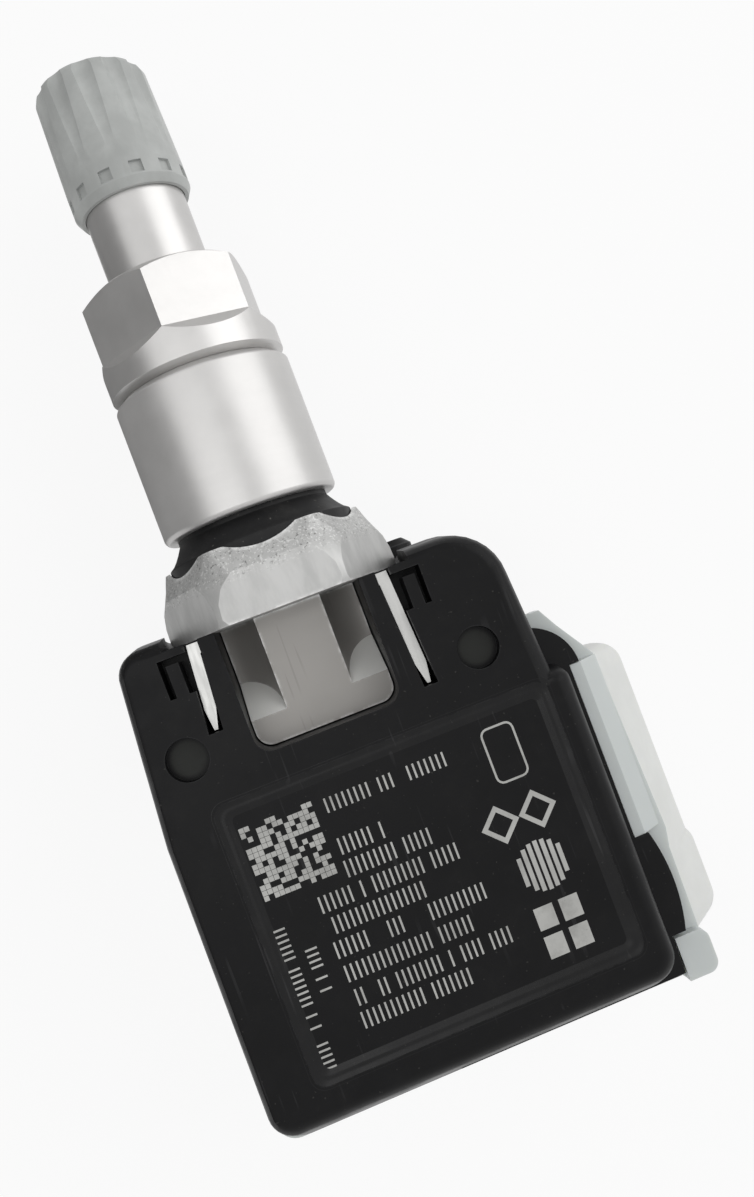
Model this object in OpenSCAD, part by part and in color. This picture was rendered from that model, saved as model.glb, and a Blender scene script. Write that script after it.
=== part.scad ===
// Tyre pressure sensor with a clamp-in valve stem.
// The stem lies along Y with its cap end at +Y. The marked face of the housing looks up, along +Z.
// The origin is on the stem's axis, in the plane where the wheel seats on the grommet.
// Inside from_base(), Y is counted from the underside of the stem's hex base.

/* [Valve stem] */
// Height of the wheel's seat above the underside of the hex base
seat_h = 6.2; // [5.8:0.1:7]
// Width across the flats of the hex base
base_af = 16.4; // [16:0.1:16.8]
// Height of the hex base at its corners
base_h = 5.5; // [5.3:0.1:5.7]
// Height of the hex base at the middle of each flat
base_mid_h = 4.6; // [4.4:0.1:4.8]
// Height at which the bevel of each flat starts
bevel_start_h = 3.5; // [3:0.1:3.7]
// Diameter of the shank that carries the nut's thread
shank_d = 8.9; // [8.7:0.1:9.1]
// Diameter of the plain neck between nut and cap
neck_d = 8; // [7.8:0.1:8.2]
// Diameter over the cap's thread
cap_thread_d = 7.6; // [7.4:0.1:7.7]
// Length of stem that the cap covers
cap_thread_len = 8.3; // [8:0.1:8.6]
// Width of the foot that sits in the housing
foot_w = 11; // [10.6:0.1:11.4]
// Length of the foot below the hex base
foot_len = 9.4; // [9:0.1:9.8]
// Height of the foot's flat face above the stem's axis
foot_face_z = 3; // [2.6:0.1:3.4]
// Depth of the foot below the stem's axis
foot_back_z = 5; // [4.6:0.1:5.4]
// Width of the foot's middle column at its face
column_w = 5.3; // [5:0.1:5.6]
// Length of the solid bar at the foot's end
foot_bar_len = 2.2; // [1.8:0.1:2.6]

/* [Nut, collar and grommet] */
// Height of the collar's lower edge above the wheel's seat
waist_h = 1.35; // [1.2:0.05:1.6]
// Outer diameter of the collar
collar_d = 14.1; // [13.6:0.1:14.6]
// Length of the collar
collar_len = 11.35; // [11:0.05:11.8]
// Width of the nut across its flats
nut_af = 12; // [11.4:0.1:12]
// Height of the nut's hexagon
nut_hex_h = 5.1; // [4.8:0.1:5.3]
// Diameter of the nut's round flange
nut_flange_d = 14; // [13.9:0.1:14.4]
// Height of the nut's round flange
nut_flange_h = 3; // [2.8:0.1:3.3]
// Turn of the nut's front flat away from straight up
nut_turn = 20; // [0:5:60]
// Diameter of the grommet's waist
grommet_waist_d = 12.2; // [11.6:0.1:12.6]
// Radial clearance between the nut or collar and the stem
nut_clearance = 0.05; // [0.03:0.01:0.08]

/* [Cap] */
// Distance from the nut's top to the cap's mouth
neck_len = 6.3; // [6:0.1:6.8]
// Length of the cap
cap_len = 10.3; // [10.1:0.1:10.8]
// Diameter of the cap near its mouth
cap_low_d = 9.4; // [9.3:0.1:9.8]
// How much slimmer the cap is at its top
cap_taper = 0.4; // [0.2:0.1:0.5]
// Number of flutes and of small square windows
cap_flutes = 12; // [8:1:14]
// Radial clearance between cap and stem
cap_clearance = 0.05; // [0.05:0.01:0.1]

/* [Valve core] */
// Diameter of the stem's bore for the core's head
core_head_d = 5.3; // [5.2:0.1:5.4]
// Diameter of the bore around the core's barrel
core_bore_d = 4.2; // [4.1:0.1:4.4]
// Diameter of the air passage below the core
air_bore_d = 3.2; // [2.8:0.1:3.4]
// Diameter of the core's pin
pin_d = 1; // [0.9:0.05:1.1]
// Travel of the core's pin
pin_travel = 1.5; // [1.2:0.1:1.5]
// Depth of the core's head below the stem's mouth
core_head_depth = 1.2; // [1:0.1:1.5]
// Length of the core's threaded head
core_head_len = 5.4; // [5:0.1:5.6]
// Length of the whole core's barrel
core_len = 12.8; // [12.5:0.1:13]

/* [Housing] */
// Height of the marked face above the stem's axis
face_z = 6; // [5.8:0.1:6.4]
// Height of the joint between housing and rear cover
parting_z = 1; // [0.9:0.05:1.1]
// Distance from the stem's axis to the housing's left edge
left_x = 14.4; // [14.2:0.1:15]
// Distance from the stem's axis to the housing's right edge
right_x = 18.1; // [17.8:0.1:18.4]
// Distance from the hex base to the housing's tail
tail_y = 36.4; // [36.2:0.1:37]
// Thickness of the housing's walls
wall = 1.4; // [1.2:0.1:1.5]
// Depth of the marked field in the face
label_depth = 0.25; // [0.15:0.05:0.3]
// Diameter of the two round dimples
dimple_d = 3.2; // [2.8:0.1:3.6]
// Clearance between the foot and its cut-out
foot_clearance = 0.1; // [0.05:0.01:0.15]

/* [Retaining clip] */
// Thickness of the clip's strip
clip_t = 0.9; // [0.7:0.1:0.9]
// Distance from the stem's axis to the middle of each leg, at its upper end
leg_x = 7.4; // [7.3:0.1:7.5]
// How far each leg leans outward at its tip
leg_splay = 0.5; // [0.3:0.1:0.6]
// Reach of the left leg below the hex base
left_leg_len = 6.7; // [6:0.1:7]
// Reach of the right leg below the hex base
right_leg_len = 9.1; // [8.6:0.1:9.3]

/* [Rear cover] */
// Depth of the cover's flat back below the stem's axis
back_z = 10.5; // [10.4:0.1:11]
// Distance from the stem's axis to the edge of the weld flange
flange_x = 21.8; // [21.6:0.1:22.2]
// Distance from the stem's axis to the widest part of the belly
belly_x = 25; // [24.8:0.1:25.4]
// Thickness of the cover's walls
cover_wall = 1.4; // [1.2:0.1:1.5]

/* [Electronics] */
// Diameter of the button cell
cell_d = 20; // [19.6:0.1:20]
// Thickness of the button cell
cell_t = 3.2; // [3:0.1:3.4]
// Thickness of the circuit board
board_t = 1; // [0.8:0.1:1]
// Thickness of the cell's welded tabs
tab_t = 0.25; // [0.2:0.01:0.25]

/* [Hidden] */
$fn = 64;
eps = 0.01;
small_gap = 0.05;

// Heights along the stem, from the underside of the hex base
collar_y = seat_h + waist_h;
nut_y = collar_y + collar_len;
nut_hex_y = nut_y + nut_flange_h;
nut_top_y = nut_hex_y + nut_hex_h;
cap_y = nut_top_y + neck_len;
cap_top_y = cap_y + cap_len;
stem_top_y = cap_y + cap_thread_len;
nut_lip_h = 1;
nut_lip_gap = 0.2;
shank_top_y = nut_top_y - nut_lip_h - nut_lip_gap;
nut_bore_r = shank_d / 2 + nut_clearance;
nut_lip_r = neck_d / 2 + nut_clearance;
groove_depth = 0.75;
collar_chamfer = 0.55;
flange_chamfer = 0.4;
spigot_h = 1.2;
spigot_r = 5.5;
spigot_gap = 0.1;

// Hex base
base_corner_r = base_af / 2 / cos(30);
bevel_in = 0.65;
dish_top_r = base_af / 2 - bevel_in;
dish_floor_y = 2.6;
dish_floor_r = dish_top_r - 0.35;
// Outline of the rounded corners, as distances in from the corner and heights
base_outline = [[0.27, 0], [0.12, 0.5], [0.17, 1.6], [0.4, 2.6], [0.77, 3.4], [1.17, 4.3], [1.57, base_h]];

// Grommet
skirt_r = dish_top_r - 0.1;
skirt_top_y = 5.7;
waist_low_y = seat_h + 1;

// Foot
pocket_r = (foot_w - column_w) / 2;
ramp_start_y = -foot_len + foot_bar_len;
foot_corner_r = 1.2;
cross_bore_d = 2.4;
cross_bore_y = -3.2;
air_bore_end_y = -3.4;

// Cap
cap_top_d = cap_low_d - cap_taper;
cap_rim_in = 0.35;
cap_rim_h = 0.6;
cap_round = 0.7;
cap_bore_r = cap_thread_d / 2 + cap_clearance;
cap_mouth_r = neck_d / 2 + cap_clearance;
cap_roof = 1.1;
cap_seal_t = cap_len - cap_roof - cap_thread_len - small_gap;
cap_seal_hole_r = 1.2;
flute_r = 1.05;
flute_depth = 0.45;
flute_fade_y = 2.3;
window_w = 1;
window_h = 0.95;
window_y = 0.75;
window_depth = 0.3;

// Valve core, from the top of the stem downwards
core_top_y = stem_top_y - core_head_depth;
core_bottom_y = core_top_y - core_len;
core_seat_y = core_top_y - core_head_len - 2;
core_seat_len = 1;
core_pocket_y = core_bottom_y - pin_travel - 2.1;
core_tube_r = core_bore_d / 2 - 0.3;
core_inner_r = 1.25;
core_head_gap = 0.05;
core_shoulder_y = core_bottom_y + 3.2;
core_shoulder_h = 0.8;
core_shoulder_r = 0.75;
core_gasket_h = 1.3;
cup_r = 1.6;
cup_h = 0.6;
cup_seal_h = 0.4;
spring_rest_y = core_shoulder_y + core_shoulder_h + pin_travel + 0.1;
spring_len = 5;
spring_turns = 6;
spring_mean_r = 0.87;
wire_r = 0.13;
wire_sides = 6;
wire_steps = 14;
pin_collar_r = 1.15;
pin_collar_h = 0.5;

// Housing outline at the shoulder: centre x, centre y and radius of each rounded corner
corner_r = 2;
lobe_r = 4.3;
lobe_x = 16.4;
lobe_low_x = 17;
step_y = -11.5;
step_r = 1;
front_y = 0.8;
head_corners = [
    [-left_x + 1.1 + corner_r, front_y - corner_r, corner_r],
    [-left_x + 0.1 + corner_r, step_y - corner_r, corner_r],
    [lobe_low_x - corner_r, step_y - corner_r, corner_r],
    [lobe_x - lobe_r, front_y - lobe_r, lobe_r]];
body_corners = [
    [-left_x + 0.1 + corner_r, step_y - corner_r, corner_r],
    [-left_x + corner_r, -tail_y + corner_r, corner_r],
    [right_x - corner_r, -tail_y + corner_r, corner_r],
    [right_x - step_r, step_y - step_r, step_r]];
shoulder_z = face_z - 1.7;
edge_in = 0.9;
edge_turn = 22.5;
right_slope = 0.5;
tail_slope = 0.7;
wall_draft = 0.3;
tail_draft = 1.9;
head_y = 10.8;
head_back_z = back_z - cover_wall;
head_left_x = 11;
head_right_x = 13.4;
head_r = 2;
head_low_r = 3.4;
head_top_corners = [
    [-left_x + 1.1 + head_r, -head_y + head_r, head_r],
    [-left_x + 1.1 + head_r, front_y - head_r, head_r],
    [lobe_x - head_r, -head_y + head_r, head_r],
    [lobe_x - lobe_r, front_y - lobe_r, lobe_r]];
head_low_corners = [
    [-head_left_x + head_r, -head_y + head_r, head_r],
    [-head_left_x + head_r, -head_r - 0.2, head_r],
    [head_right_x - head_r, -head_y + head_r, head_r],
    [head_right_x - head_low_r, -head_low_r - 0.2, head_low_r]];
weld_ledge_t = 1.2;
rail_t = 0.9;
rail_x = right_x + 0.9;
rail_top_y = -12.1;
rail_low_y = -26.5;
ear_x = right_x + 2.6;
ear_r = 15;
ear_low_y = -34.7;
small_ear_x = right_x + 1.7;
small_ear_r = 4;
stop_x = 9.9;
stop_z = -4.2;
stop_r = 1.7;
stop_h = 2.2;
label_left_x = -10.2;
label_right_x = 15.9;
label_top_y = -11.8;
label_low_y = -33.4;
label_corner_r = 1;
dimple_left_x = -10.5;
dimple_right_x = 12.1;
dimple_y = -7.9;
dimple_depth = 0.9;
tongue_x = 9.15;
tongue_w = 0.95;
tongue_len = 2.9;
tongue_slot_w = 0.5;
tongue_y = -0.6;
tongue_depth = 2.5;
cut_w = foot_w + 2 * foot_clearance;
cut_len = foot_len + foot_clearance;
clip_gap = 0.1;
room_left_x = -left_x + wall + 0.1;
room_right_x = right_x - wall - 0.3;
room_top_y = -head_y - 1.6;
room_low_y = -tail_y + wall;
room_roof_z = face_z - label_depth - 1.15;

// Clip
clip_front_y = -0.15;
clip_top_z = face_z - 0.9;
clip_leg_h = 3.2;
clip_bar_h = 2.6;
clip_bar_top_z = -foot_back_z + 1.4;
clip_point_len = 1.6;

// Rear cover
cover_low_in = 1.6;
belly_z = -4.5;
belly_top_y = -12;
belly_low_y = -37;
belly_corner_r = 2;
belly_step_y = -28.6;
belly_step = 0.35;
flange_t = 1.6;
flange_low_y = -tail_y - tail_draft - 0.35;
flange_outline = [
    [0, flange_low_y],
    [flange_x - 0.9, flange_low_y],
    [flange_x - 0.2, flange_low_y + 0.6],
    [flange_x - 0.3, ear_low_y - 0.4],
    [flange_x - 0.2, belly_step_y],
    [flange_x + 0.1, belly_step_y + 1.6],
    [flange_x - 0.4, belly_top_y],
    [flange_x - 0.9, belly_top_y + 0.8],
    [19.4, -8.9],
    [18.5, -7.3],
    [lobe_x + 0.25, -7.3],
    [lobe_x + 0.25, -head_y - small_gap],
    [0, -head_y - small_gap]];
rail_h = 1.1;
tail_end_h = 0.9;
floor_z = -back_z + cover_wall;
cover_room_right_x = 17;
belly_room_x = flange_x - 0.5;
belly_deep_x = belly_x - cover_wall - 0.4;
belly_ceiling_z = parting_z - flange_t - 0.9;
port_x = -6;
port_y = -17;
port_d = 1.6;
port_tower_r = 2.6;
air_window_d = 3;
post_r = 1.2;
cover_foot_y = -0.6;

// Electronics
board_z = 0;
board_left_x = room_left_x + 0.4;
board_right_x = room_right_x - 0.4;
board_top_y = room_top_y - 0.4;
board_low_y = room_low_y + 0.4;
cell_x = 10.5;
cell_y = -24;
cell_top_z = board_z - 1.9;
cell_bottom_z = cell_top_z - cell_t;
cradle_gap = 0.25;
cradle_wall = 1.1;
cradle_top_z = cell_top_z - 0.6;
ledge_r = 8.4;
tab_w = 1.8;
tab_reach = cell_x - cell_d / 2 - 1;
tab_top_y = cell_y + 1.9;
tab_bottom_y = cell_y - 1.9;
chip_w = 5.4;
chip_len = 5;
chip_t = 2;
seal_t = 0.85;
tower_top_z = board_z - chip_t - seal_t - 2 * small_gap;
coil_x = -6.5;
coil_y = -28;
coil_len = 8;
coil_w = 3;
coil_core_t = 1.1;
coil_end_w = 1.1;
coil_winding_w = 2.4;
antenna_d = 0.8;
antenna_z = board_z + board_t + 1.8;
antenna_x = board_right_x - 1.4;
antenna_top_y = board_top_y - 1.2;
antenna_low_y = board_low_y + 1.4;
antenna_left_x = -2;

// Moves from the underside of the hex base to the row's own origin
module from_base() {
    translate([0, -seat_h, 0]) children();
}

// Stands a shape that was drawn along Z on the stem's axis, at height y
module along_stem(y) {
    translate([0, y, 0]) rotate([-90, 0, 0]) children();
}

module tube(r_out, r_in, h) {
    difference() {
        cylinder(r = r_out, h = h);
        translate([0, 0, -eps]) cylinder(r = r_in, h = h + 2 * eps);
    }
}

// A box from its low and high corners
module span_box(low, high) {
    translate(low) cube([high[0] - low[0], high[1] - low[1], high[2] - low[2]]);
}

// A flat plate with rounded corners, as an exact outline
module round_plate(low, high, r, z, h) {
    translate([0, 0, z]) linear_extrude(h) {
        translate([low[0] + r, low[1]]) square([high[0] - low[0] - 2 * r, high[1] - low[1]]);
        translate([low[0], low[1] + r]) square([high[0] - low[0], high[1] - low[1] - 2 * r]);
        for (x = [low[0] + r, high[0] - r]) for (y = [low[1] + r, high[1] - r])
            translate([x, y]) circle(r = r);
    }
}

// The hex base is a prism that a turned outline rounds at its corners
module hex_base() {
    difference() {
        intersection() {
            along_stem(0) cylinder(r = base_corner_r, h = base_h, $fn = 6);
            along_stem(0) rotate_extrude() polygon(concat([[0, 0]],
                [for (step = base_outline) [base_corner_r - step[0], step[1]]],
                [[0, base_h]]));
        }
        for (turn = [0 : 60 : 300]) rotate([0, turn, 0]) base_bevel();
        along_stem(0) rotate_extrude() polygon([
            [0, dish_floor_y],
            [dish_floor_r, dish_floor_y],
            [dish_top_r, base_h],
            [dish_top_r, base_h + 1],
            [0, base_h + 1]]);
    }
}

// The slanted plane that takes the top edge off one flat of the hex base
module base_bevel() {
    bevel_angle = atan2(bevel_in, base_mid_h - bevel_start_h);
    translate([-base_af / 2, bevel_start_h, base_af / 2]) rotate([-bevel_angle, 0, 0])
        cube([base_af, base_h, base_h]);
}

module foot() {
    difference() {
        union() {
            span_box([-foot_w / 2, -foot_len + foot_corner_r, -foot_back_z], [foot_w / 2, eps, foot_face_z]);
            span_box([-foot_w / 2 + foot_corner_r, -foot_len, -foot_back_z],
                [foot_w / 2 - foot_corner_r, 0, foot_face_z]);
            for (side = [-1, 1])
                translate([side * (foot_w / 2 - foot_corner_r), -foot_len + foot_corner_r, -foot_back_z])
                    cylinder(r = foot_corner_r, h = foot_back_z + foot_face_z);
        }
        for (side = [-1, 1]) foot_pocket(side);
        clip_groove();
    }
}

// A round scoop beside the column, which runs out in a slanted ramp
module foot_pocket(side) {
    difference() {
        translate([side * foot_w / 2, ramp_start_y, foot_face_z]) rotate([-90, 0, 0])
            cylinder(r = pocket_r, h = -ramp_start_y + eps);
        translate([-foot_w, ramp_start_y, foot_face_z]) rotate([-45, 0, 0])
            translate([0, -foot_w, -foot_w]) cube([2 * foot_w, 2 * foot_w, foot_w]);
    }
}

// The slot across the foot's back that the clip's bar lies in
module clip_groove() {
    span_box([-foot_w, clip_front_y - clip_t - clip_gap, -foot_back_z - eps],
        [foot_w, clip_front_y + clip_gap, clip_bar_top_z + clip_gap]);
}

module stem_outline() {
    rotate_extrude() polygon([
        [0, 0],
        [shank_d / 2, 0],
        [shank_d / 2, shank_top_y - 0.4],
        [neck_d / 2, shank_top_y],
        [neck_d / 2, cap_y + 0.3],
        [cap_thread_d / 2, cap_y + 0.6],
        [cap_thread_d / 2, stem_top_y - 0.6],
        [cap_thread_d / 2 - 0.6, stem_top_y],
        [0, stem_top_y]]);
}

module stem_bore() {
    rotate_extrude() polygon([
        [0, air_bore_end_y],
        [air_bore_d / 2, air_bore_end_y],
        [air_bore_d / 2, core_pocket_y - 0.4],
        [core_bore_d / 2, core_pocket_y],
        [core_bore_d / 2, core_seat_y],
        [core_head_d / 2, core_seat_y + core_seat_len],
        [core_head_d / 2, stem_top_y + eps],
        [0, stem_top_y + eps]]);
}

module valve_stem() {
    color("silver") from_base() difference() {
        union() {
            hex_base();
            along_stem(0) stem_outline();
            foot();
        }
        along_stem(0) stem_bore();
        translate([0, cross_bore_y + cross_bore_d / 2, -foot_back_z - eps])
            cylinder(d = cross_bore_d, h = foot_back_z);
    }
}

module hex_nut() {
    hex_r = nut_af / 2 / cos(30);
    top_chamfer = 0.7;
    color("gainsboro") from_base() along_stem(nut_y) rotate([0, 0, nut_turn]) difference() {
        union() {
            translate([0, 0, nut_flange_h - eps]) intersection() {
                cylinder(r = hex_r, h = nut_hex_h + eps, $fn = 6);
                union() {
                    cylinder(r = hex_r, h = nut_hex_h - top_chamfer);
                    translate([0, 0, nut_hex_h - top_chamfer - eps])
                        cylinder(r1 = hex_r, r2 = nut_af / 2 - 0.2, h = top_chamfer + 2 * eps);
                }
            }
            cylinder(r1 = nut_flange_d / 2 - groove_depth, r2 = nut_flange_d / 2, h = flange_chamfer);
            translate([0, 0, flange_chamfer])
                cylinder(d = nut_flange_d, h = nut_flange_h - flange_chamfer);
            translate([0, 0, -spigot_h]) cylinder(r = spigot_r, h = spigot_h + eps);
        }
        nut_ledges();
        translate([0, 0, -spigot_h - eps])
            cylinder(r = nut_bore_r, h = spigot_h + nut_flange_h + nut_hex_h - nut_lip_h + eps);
        cylinder(r = nut_lip_r, h = nut_flange_h + nut_hex_h + 1);
    }
}

// The slanted crescent below each flat, where the wrench land runs into the flange
module nut_ledges() {
    reach = nut_flange_d / 2;
    for (turn = [0 : 60 : 300]) rotate([0, 0, turn + 30])
        translate([nut_af / 2, reach, nut_flange_h]) rotate([90, 0, 0]) linear_extrude(2 * reach)
            polygon([[0, 0], [2, -2], [2, 1], [0, 1]]);
}

module collar_sleeve() {
    lip_h = 0.3;
    lip_in = 0.2;
    color("gainsboro") from_base() along_stem(collar_y) difference() {
        rotate_extrude() polygon([
            [nut_bore_r, 0],
            [collar_d / 2 - lip_in, 0],
            [collar_d / 2, lip_h],
            [collar_d / 2, collar_len - collar_chamfer],
            [collar_d / 2 - groove_depth, collar_len],
            [nut_bore_r, collar_len]]);
        translate([0, 0, collar_len - spigot_h - spigot_gap])
            cylinder(r = spigot_r + spigot_gap, h = spigot_h + 1);
    }
}

module grommet() {
    waist_r = grommet_waist_d / 2;
    color("dimgray") from_base() along_stem(0) rotate_extrude() polygon(concat(
        [[shank_d / 2 + eps, dish_floor_y],
        [dish_floor_r - small_gap, dish_floor_y],
        [skirt_r, base_h]],
        [for (turn = [0 : 15 : 90]) [
            waist_r + (skirt_r - waist_r) * (1 - sin(turn)),
            skirt_top_y + (waist_low_y - skirt_top_y) * (1 - cos(turn))]],
        [[waist_r, collar_y],
        [shank_d / 2 + eps, collar_y]]));
}

module valve_cap() {
    fade_len = cap_len - flute_fade_y;
    flute_tilt = atan2(flute_depth + cap_taper / 2, fade_len);
    color("gray") from_base() along_stem(cap_y) difference() {
        rotate_extrude() polygon([
            [0, 0],
            [cap_low_d / 2 - cap_rim_in, 0],
            [cap_low_d / 2, cap_rim_h],
            [cap_low_d / 2, flute_fade_y],
            [cap_top_d / 2, cap_len - cap_round],
            [cap_top_d / 2 - 0.3 * cap_round, cap_len - 0.3 * cap_round],
            [cap_top_d / 2 - cap_round, cap_len],
            [0, cap_len]]);
        translate([0, 0, -eps]) cylinder(r = cap_bore_r, h = cap_len - cap_roof + eps);
        translate([0, 0, -eps]) cylinder(r = cap_mouth_r, h = 0.8 + eps);
        for (i = [0 : cap_flutes - 1]) rotate([0, 0, i * 360 / cap_flutes]) {
            translate([cap_top_d / 2 + flute_r - flute_depth, 0, cap_len]) rotate([0, -flute_tilt, 0])
                translate([0, 0, -cap_len * 1.5]) cylinder(r = flute_r, h = cap_len * 2, $fn = 24);
            rotate([0, 0, 180 / cap_flutes])
                translate([cap_low_d / 2 - window_depth, -window_w / 2, window_y])
                    cube([1, window_w, window_h]);
        }
    }
}

module cap_seal() {
    color("black") from_base() along_stem(stem_top_y + small_gap / 2)
        tube(cap_bore_r - small_gap, cap_seal_hole_r, cap_seal_t);
}

module core_barrel() {
    color("goldenrod") from_base() along_stem(0) rotate_extrude() polygon([
        [core_inner_r, core_top_y],
        [core_head_d / 2 - core_head_gap, core_top_y],
        [core_head_d / 2 - core_head_gap, core_top_y - core_head_len],
        [core_tube_r, core_top_y - core_head_len],
        [core_tube_r, core_bottom_y],
        [core_inner_r, core_bottom_y],
        [core_inner_r, core_shoulder_y],
        [core_shoulder_r, core_shoulder_y],
        [core_shoulder_r, core_shoulder_y + core_shoulder_h],
        [core_inner_r, core_shoulder_y + core_shoulder_h]]);
}

module core_gasket() {
    gasket_y = core_seat_y;
    color("firebrick") from_base() along_stem(0) rotate_extrude() polygon([
        [core_tube_r, gasket_y],
        [core_bore_d / 2 - small_gap, gasket_y],
        [core_head_d / 2 - small_gap, gasket_y + core_seat_len + small_gap],
        [core_head_d / 2 - small_gap, gasket_y + core_gasket_h],
        [core_tube_r, gasket_y + core_gasket_h]]);
}

module core_pin() {
    pin_top_y = stem_top_y - 0.2;
    cup_y = core_bottom_y - cup_seal_h - cup_h;
    color("lightsteelblue") from_base() along_stem(0) union() {
        translate([0, 0, cup_y]) cylinder(d = pin_d, h = pin_top_y - cup_y);
        translate([0, 0, cup_y]) cylinder(r = cup_r, h = cup_h);
        translate([0, 0, spring_rest_y + spring_len]) cylinder(r = pin_collar_r, h = pin_collar_h);
    }
}

module core_cup_seal() {
    color("black") from_base() along_stem(core_bottom_y - cup_seal_h)
        tube(cup_r, pin_d / 2, cup_seal_h - eps);
}

// A round wire wound as a helix round Z
module coil_wire(mean_r, turns, pitch, r, sides, steps) {
    rings = turns * steps;
    points = [for (i = [0 : rings]) let (turn = 360 * i / steps) for (k = [0 : sides - 1])
        let (across = mean_r + r * cos(360 * k / sides)) [
            across * cos(turn), across * sin(turn), pitch * i / steps + r * sin(360 * k / sides)]];
    sides_faces = [for (i = [0 : rings - 1]) for (k = [0 : sides - 1])
        let (next = (k + 1) % sides) for (half = [0, 1]) half == 0
            ? [i * sides + k, i * sides + next, (i + 1) * sides + next]
            : [i * sides + k, (i + 1) * sides + next, (i + 1) * sides + k]];
    first = [[for (k = [sides - 1 : -1 : 0]) k]];
    last = [[for (k = [0 : sides - 1]) rings * sides + k]];
    polyhedron(points, concat(sides_faces, first, last));
}

module core_spring() {
    color("slategray") from_base() along_stem(spring_rest_y + wire_r)
        coil_wire(spring_mean_r, spring_turns, (spring_len - 2 * wire_r) / spring_turns, wire_r,
            wire_sides, wire_steps);
}

// One leg of the clip, with its pointed end
module clip_leg(side, reach) {
    tip_x = side * leg_splay;
    bend_x = tip_x * (reach - clip_point_len) / reach;
    translate([side * leg_x, 0, clip_top_z - clip_leg_h]) linear_extrude(clip_leg_h) polygon([
        [-clip_t / 2, clip_front_y],
        [clip_t / 2, clip_front_y],
        [bend_x + clip_t / 2, -reach + clip_point_len],
        [tip_x + clip_t / 6, -reach],
        [tip_x - clip_t / 6, -reach],
        [bend_x - clip_t / 2, -reach + clip_point_len]]);
}

module retaining_clip() {
    bar_x = leg_x + clip_t / 2;
    color("whitesmoke") from_base() union() {
        clip_leg(-1, left_leg_len);
        clip_leg(1, right_leg_len);
        for (side = [-1, 1]) span_box(
            [side * leg_x - clip_t / 2, clip_front_y - clip_t, clip_bar_top_z - clip_bar_h],
            [side * leg_x + clip_t / 2, clip_front_y, clip_top_z]);
        span_box([-bar_x, clip_front_y - clip_t, clip_bar_top_z - clip_bar_h],
            [bar_x, clip_front_y, clip_bar_top_z]);
    }
}

// The room for the clip in the housing, a little larger all round
module clip_room() {
    room_w = clip_t / 2 + clip_gap;
    for (side = [-1, 1]) {
        reach = side < 0 ? left_leg_len : right_leg_len;
        tip_x = side * leg_splay;
        translate([side * leg_x, 0, clip_top_z - clip_leg_h - clip_gap]) linear_extrude(clip_leg_h + 2) polygon([
            [-room_w, front_y + 1],
            [room_w, front_y + 1],
            [room_w, clip_front_y],
            [tip_x + room_w, -reach - clip_gap],
            [tip_x - room_w, -reach - clip_gap],
            [-room_w, clip_front_y]]);
        span_box([side * leg_x - room_w, clip_front_y - clip_t - clip_gap,
            clip_bar_top_z - clip_bar_h - clip_gap],
            [side * leg_x + room_w, front_y + 1, face_z + 1]);
    }
    span_box([-leg_x - room_w, clip_front_y - clip_t - clip_gap, clip_bar_top_z - clip_bar_h - clip_gap],
        [leg_x + room_w, front_y + 1, clip_bar_top_z + clip_gap]);
}

// The U-shaped slot that frees one snap tongue and opens into the room of the clip's leg
module tongue_slot(side) {
    low_y = tongue_y - tongue_len;
    tongue_in_x = tongue_x - tongue_w / 2;
    tongue_out_x = tongue_x + tongue_w / 2;
    mirror([side < 0 ? 1 : 0, 0, 0]) difference() {
        span_box([leg_x, low_y, face_z - tongue_depth], [tongue_out_x + tongue_slot_w, tongue_y, face_z + 1]);
        span_box([tongue_in_x, low_y - 1, 0], [tongue_out_x, tongue_y - tongue_slot_w, face_z + 2]);
    }
}

// An outline that curves in from the shoulder to the marked face, and widens a little below it
module shell_form(corners) {
    hull() for (c = corners) {
        outward = c[0] > 0 ? right_slope : 0;
        backward = c[1] < step_y - 2 * corner_r ? 1 : 0;
        for (turn = [0 : edge_turn : 90]) {
            curl = 1 - cos(turn);
            translate([c[0] - outward * curl, c[1] + backward * tail_slope * curl,
                shoulder_z + (face_z - shoulder_z) * sin(turn) - eps])
                cylinder(r = c[2] - edge_in * curl, h = eps, $fn = 32);
        }
        translate([c[0], c[1] - backward * (tail_draft - wall_draft), parting_z])
            cylinder(r = c[2] + wall_draft, h = eps, $fn = 32);
    }
}

module housing_form() {
    shell_form(head_corners);
    shell_form(body_corners);
}

// The deep front block that holds the stem's foot
module housing_head() {
    hull() {
        for (c = head_top_corners)
            translate([c[0], c[1], parting_z]) cylinder(r = c[2], h = 1, $fn = 32);
        for (c = head_low_corners)
            translate([c[0], c[1], -head_back_z]) cylinder(r = c[2], h = eps, $fn = 32);
    }
}

// The round block on the head's right, with a chamfered end
module stop_block() {
    stop_chamfer = 0.6;
    translate([stop_x, 0, stop_z]) rotate([-90, 0, 0]) union() {
        cylinder(r = stop_r, h = stop_h - stop_chamfer);
        translate([0, 0, stop_h - stop_chamfer - eps])
            cylinder(r1 = stop_r, r2 = stop_r - stop_chamfer, h = stop_chamfer);
    }
}

// The thin ledge that is welded to the cover, with its two ears on the right
module weld_ledge() {
    translate([0, 0, parting_z]) linear_extrude(weld_ledge_t) {
        translate([0, -tail_y - tail_draft]) square([rail_x - small_gap, tail_y + tail_draft + step_y]);
        intersection() {
            translate([ear_x - ear_r, (rail_low_y + ear_low_y) / 2]) circle(r = ear_r);
            translate([0, ear_low_y]) square([2 * ear_x, rail_low_y - small_gap - ear_low_y]);
        }
        intersection() {
            translate([small_ear_x - small_ear_r, rail_top_y + small_gap]) circle(r = small_ear_r);
            translate([0, rail_top_y + small_gap]) square([2 * ear_x, 2 * small_ear_r]);
        }
    }
}

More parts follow.
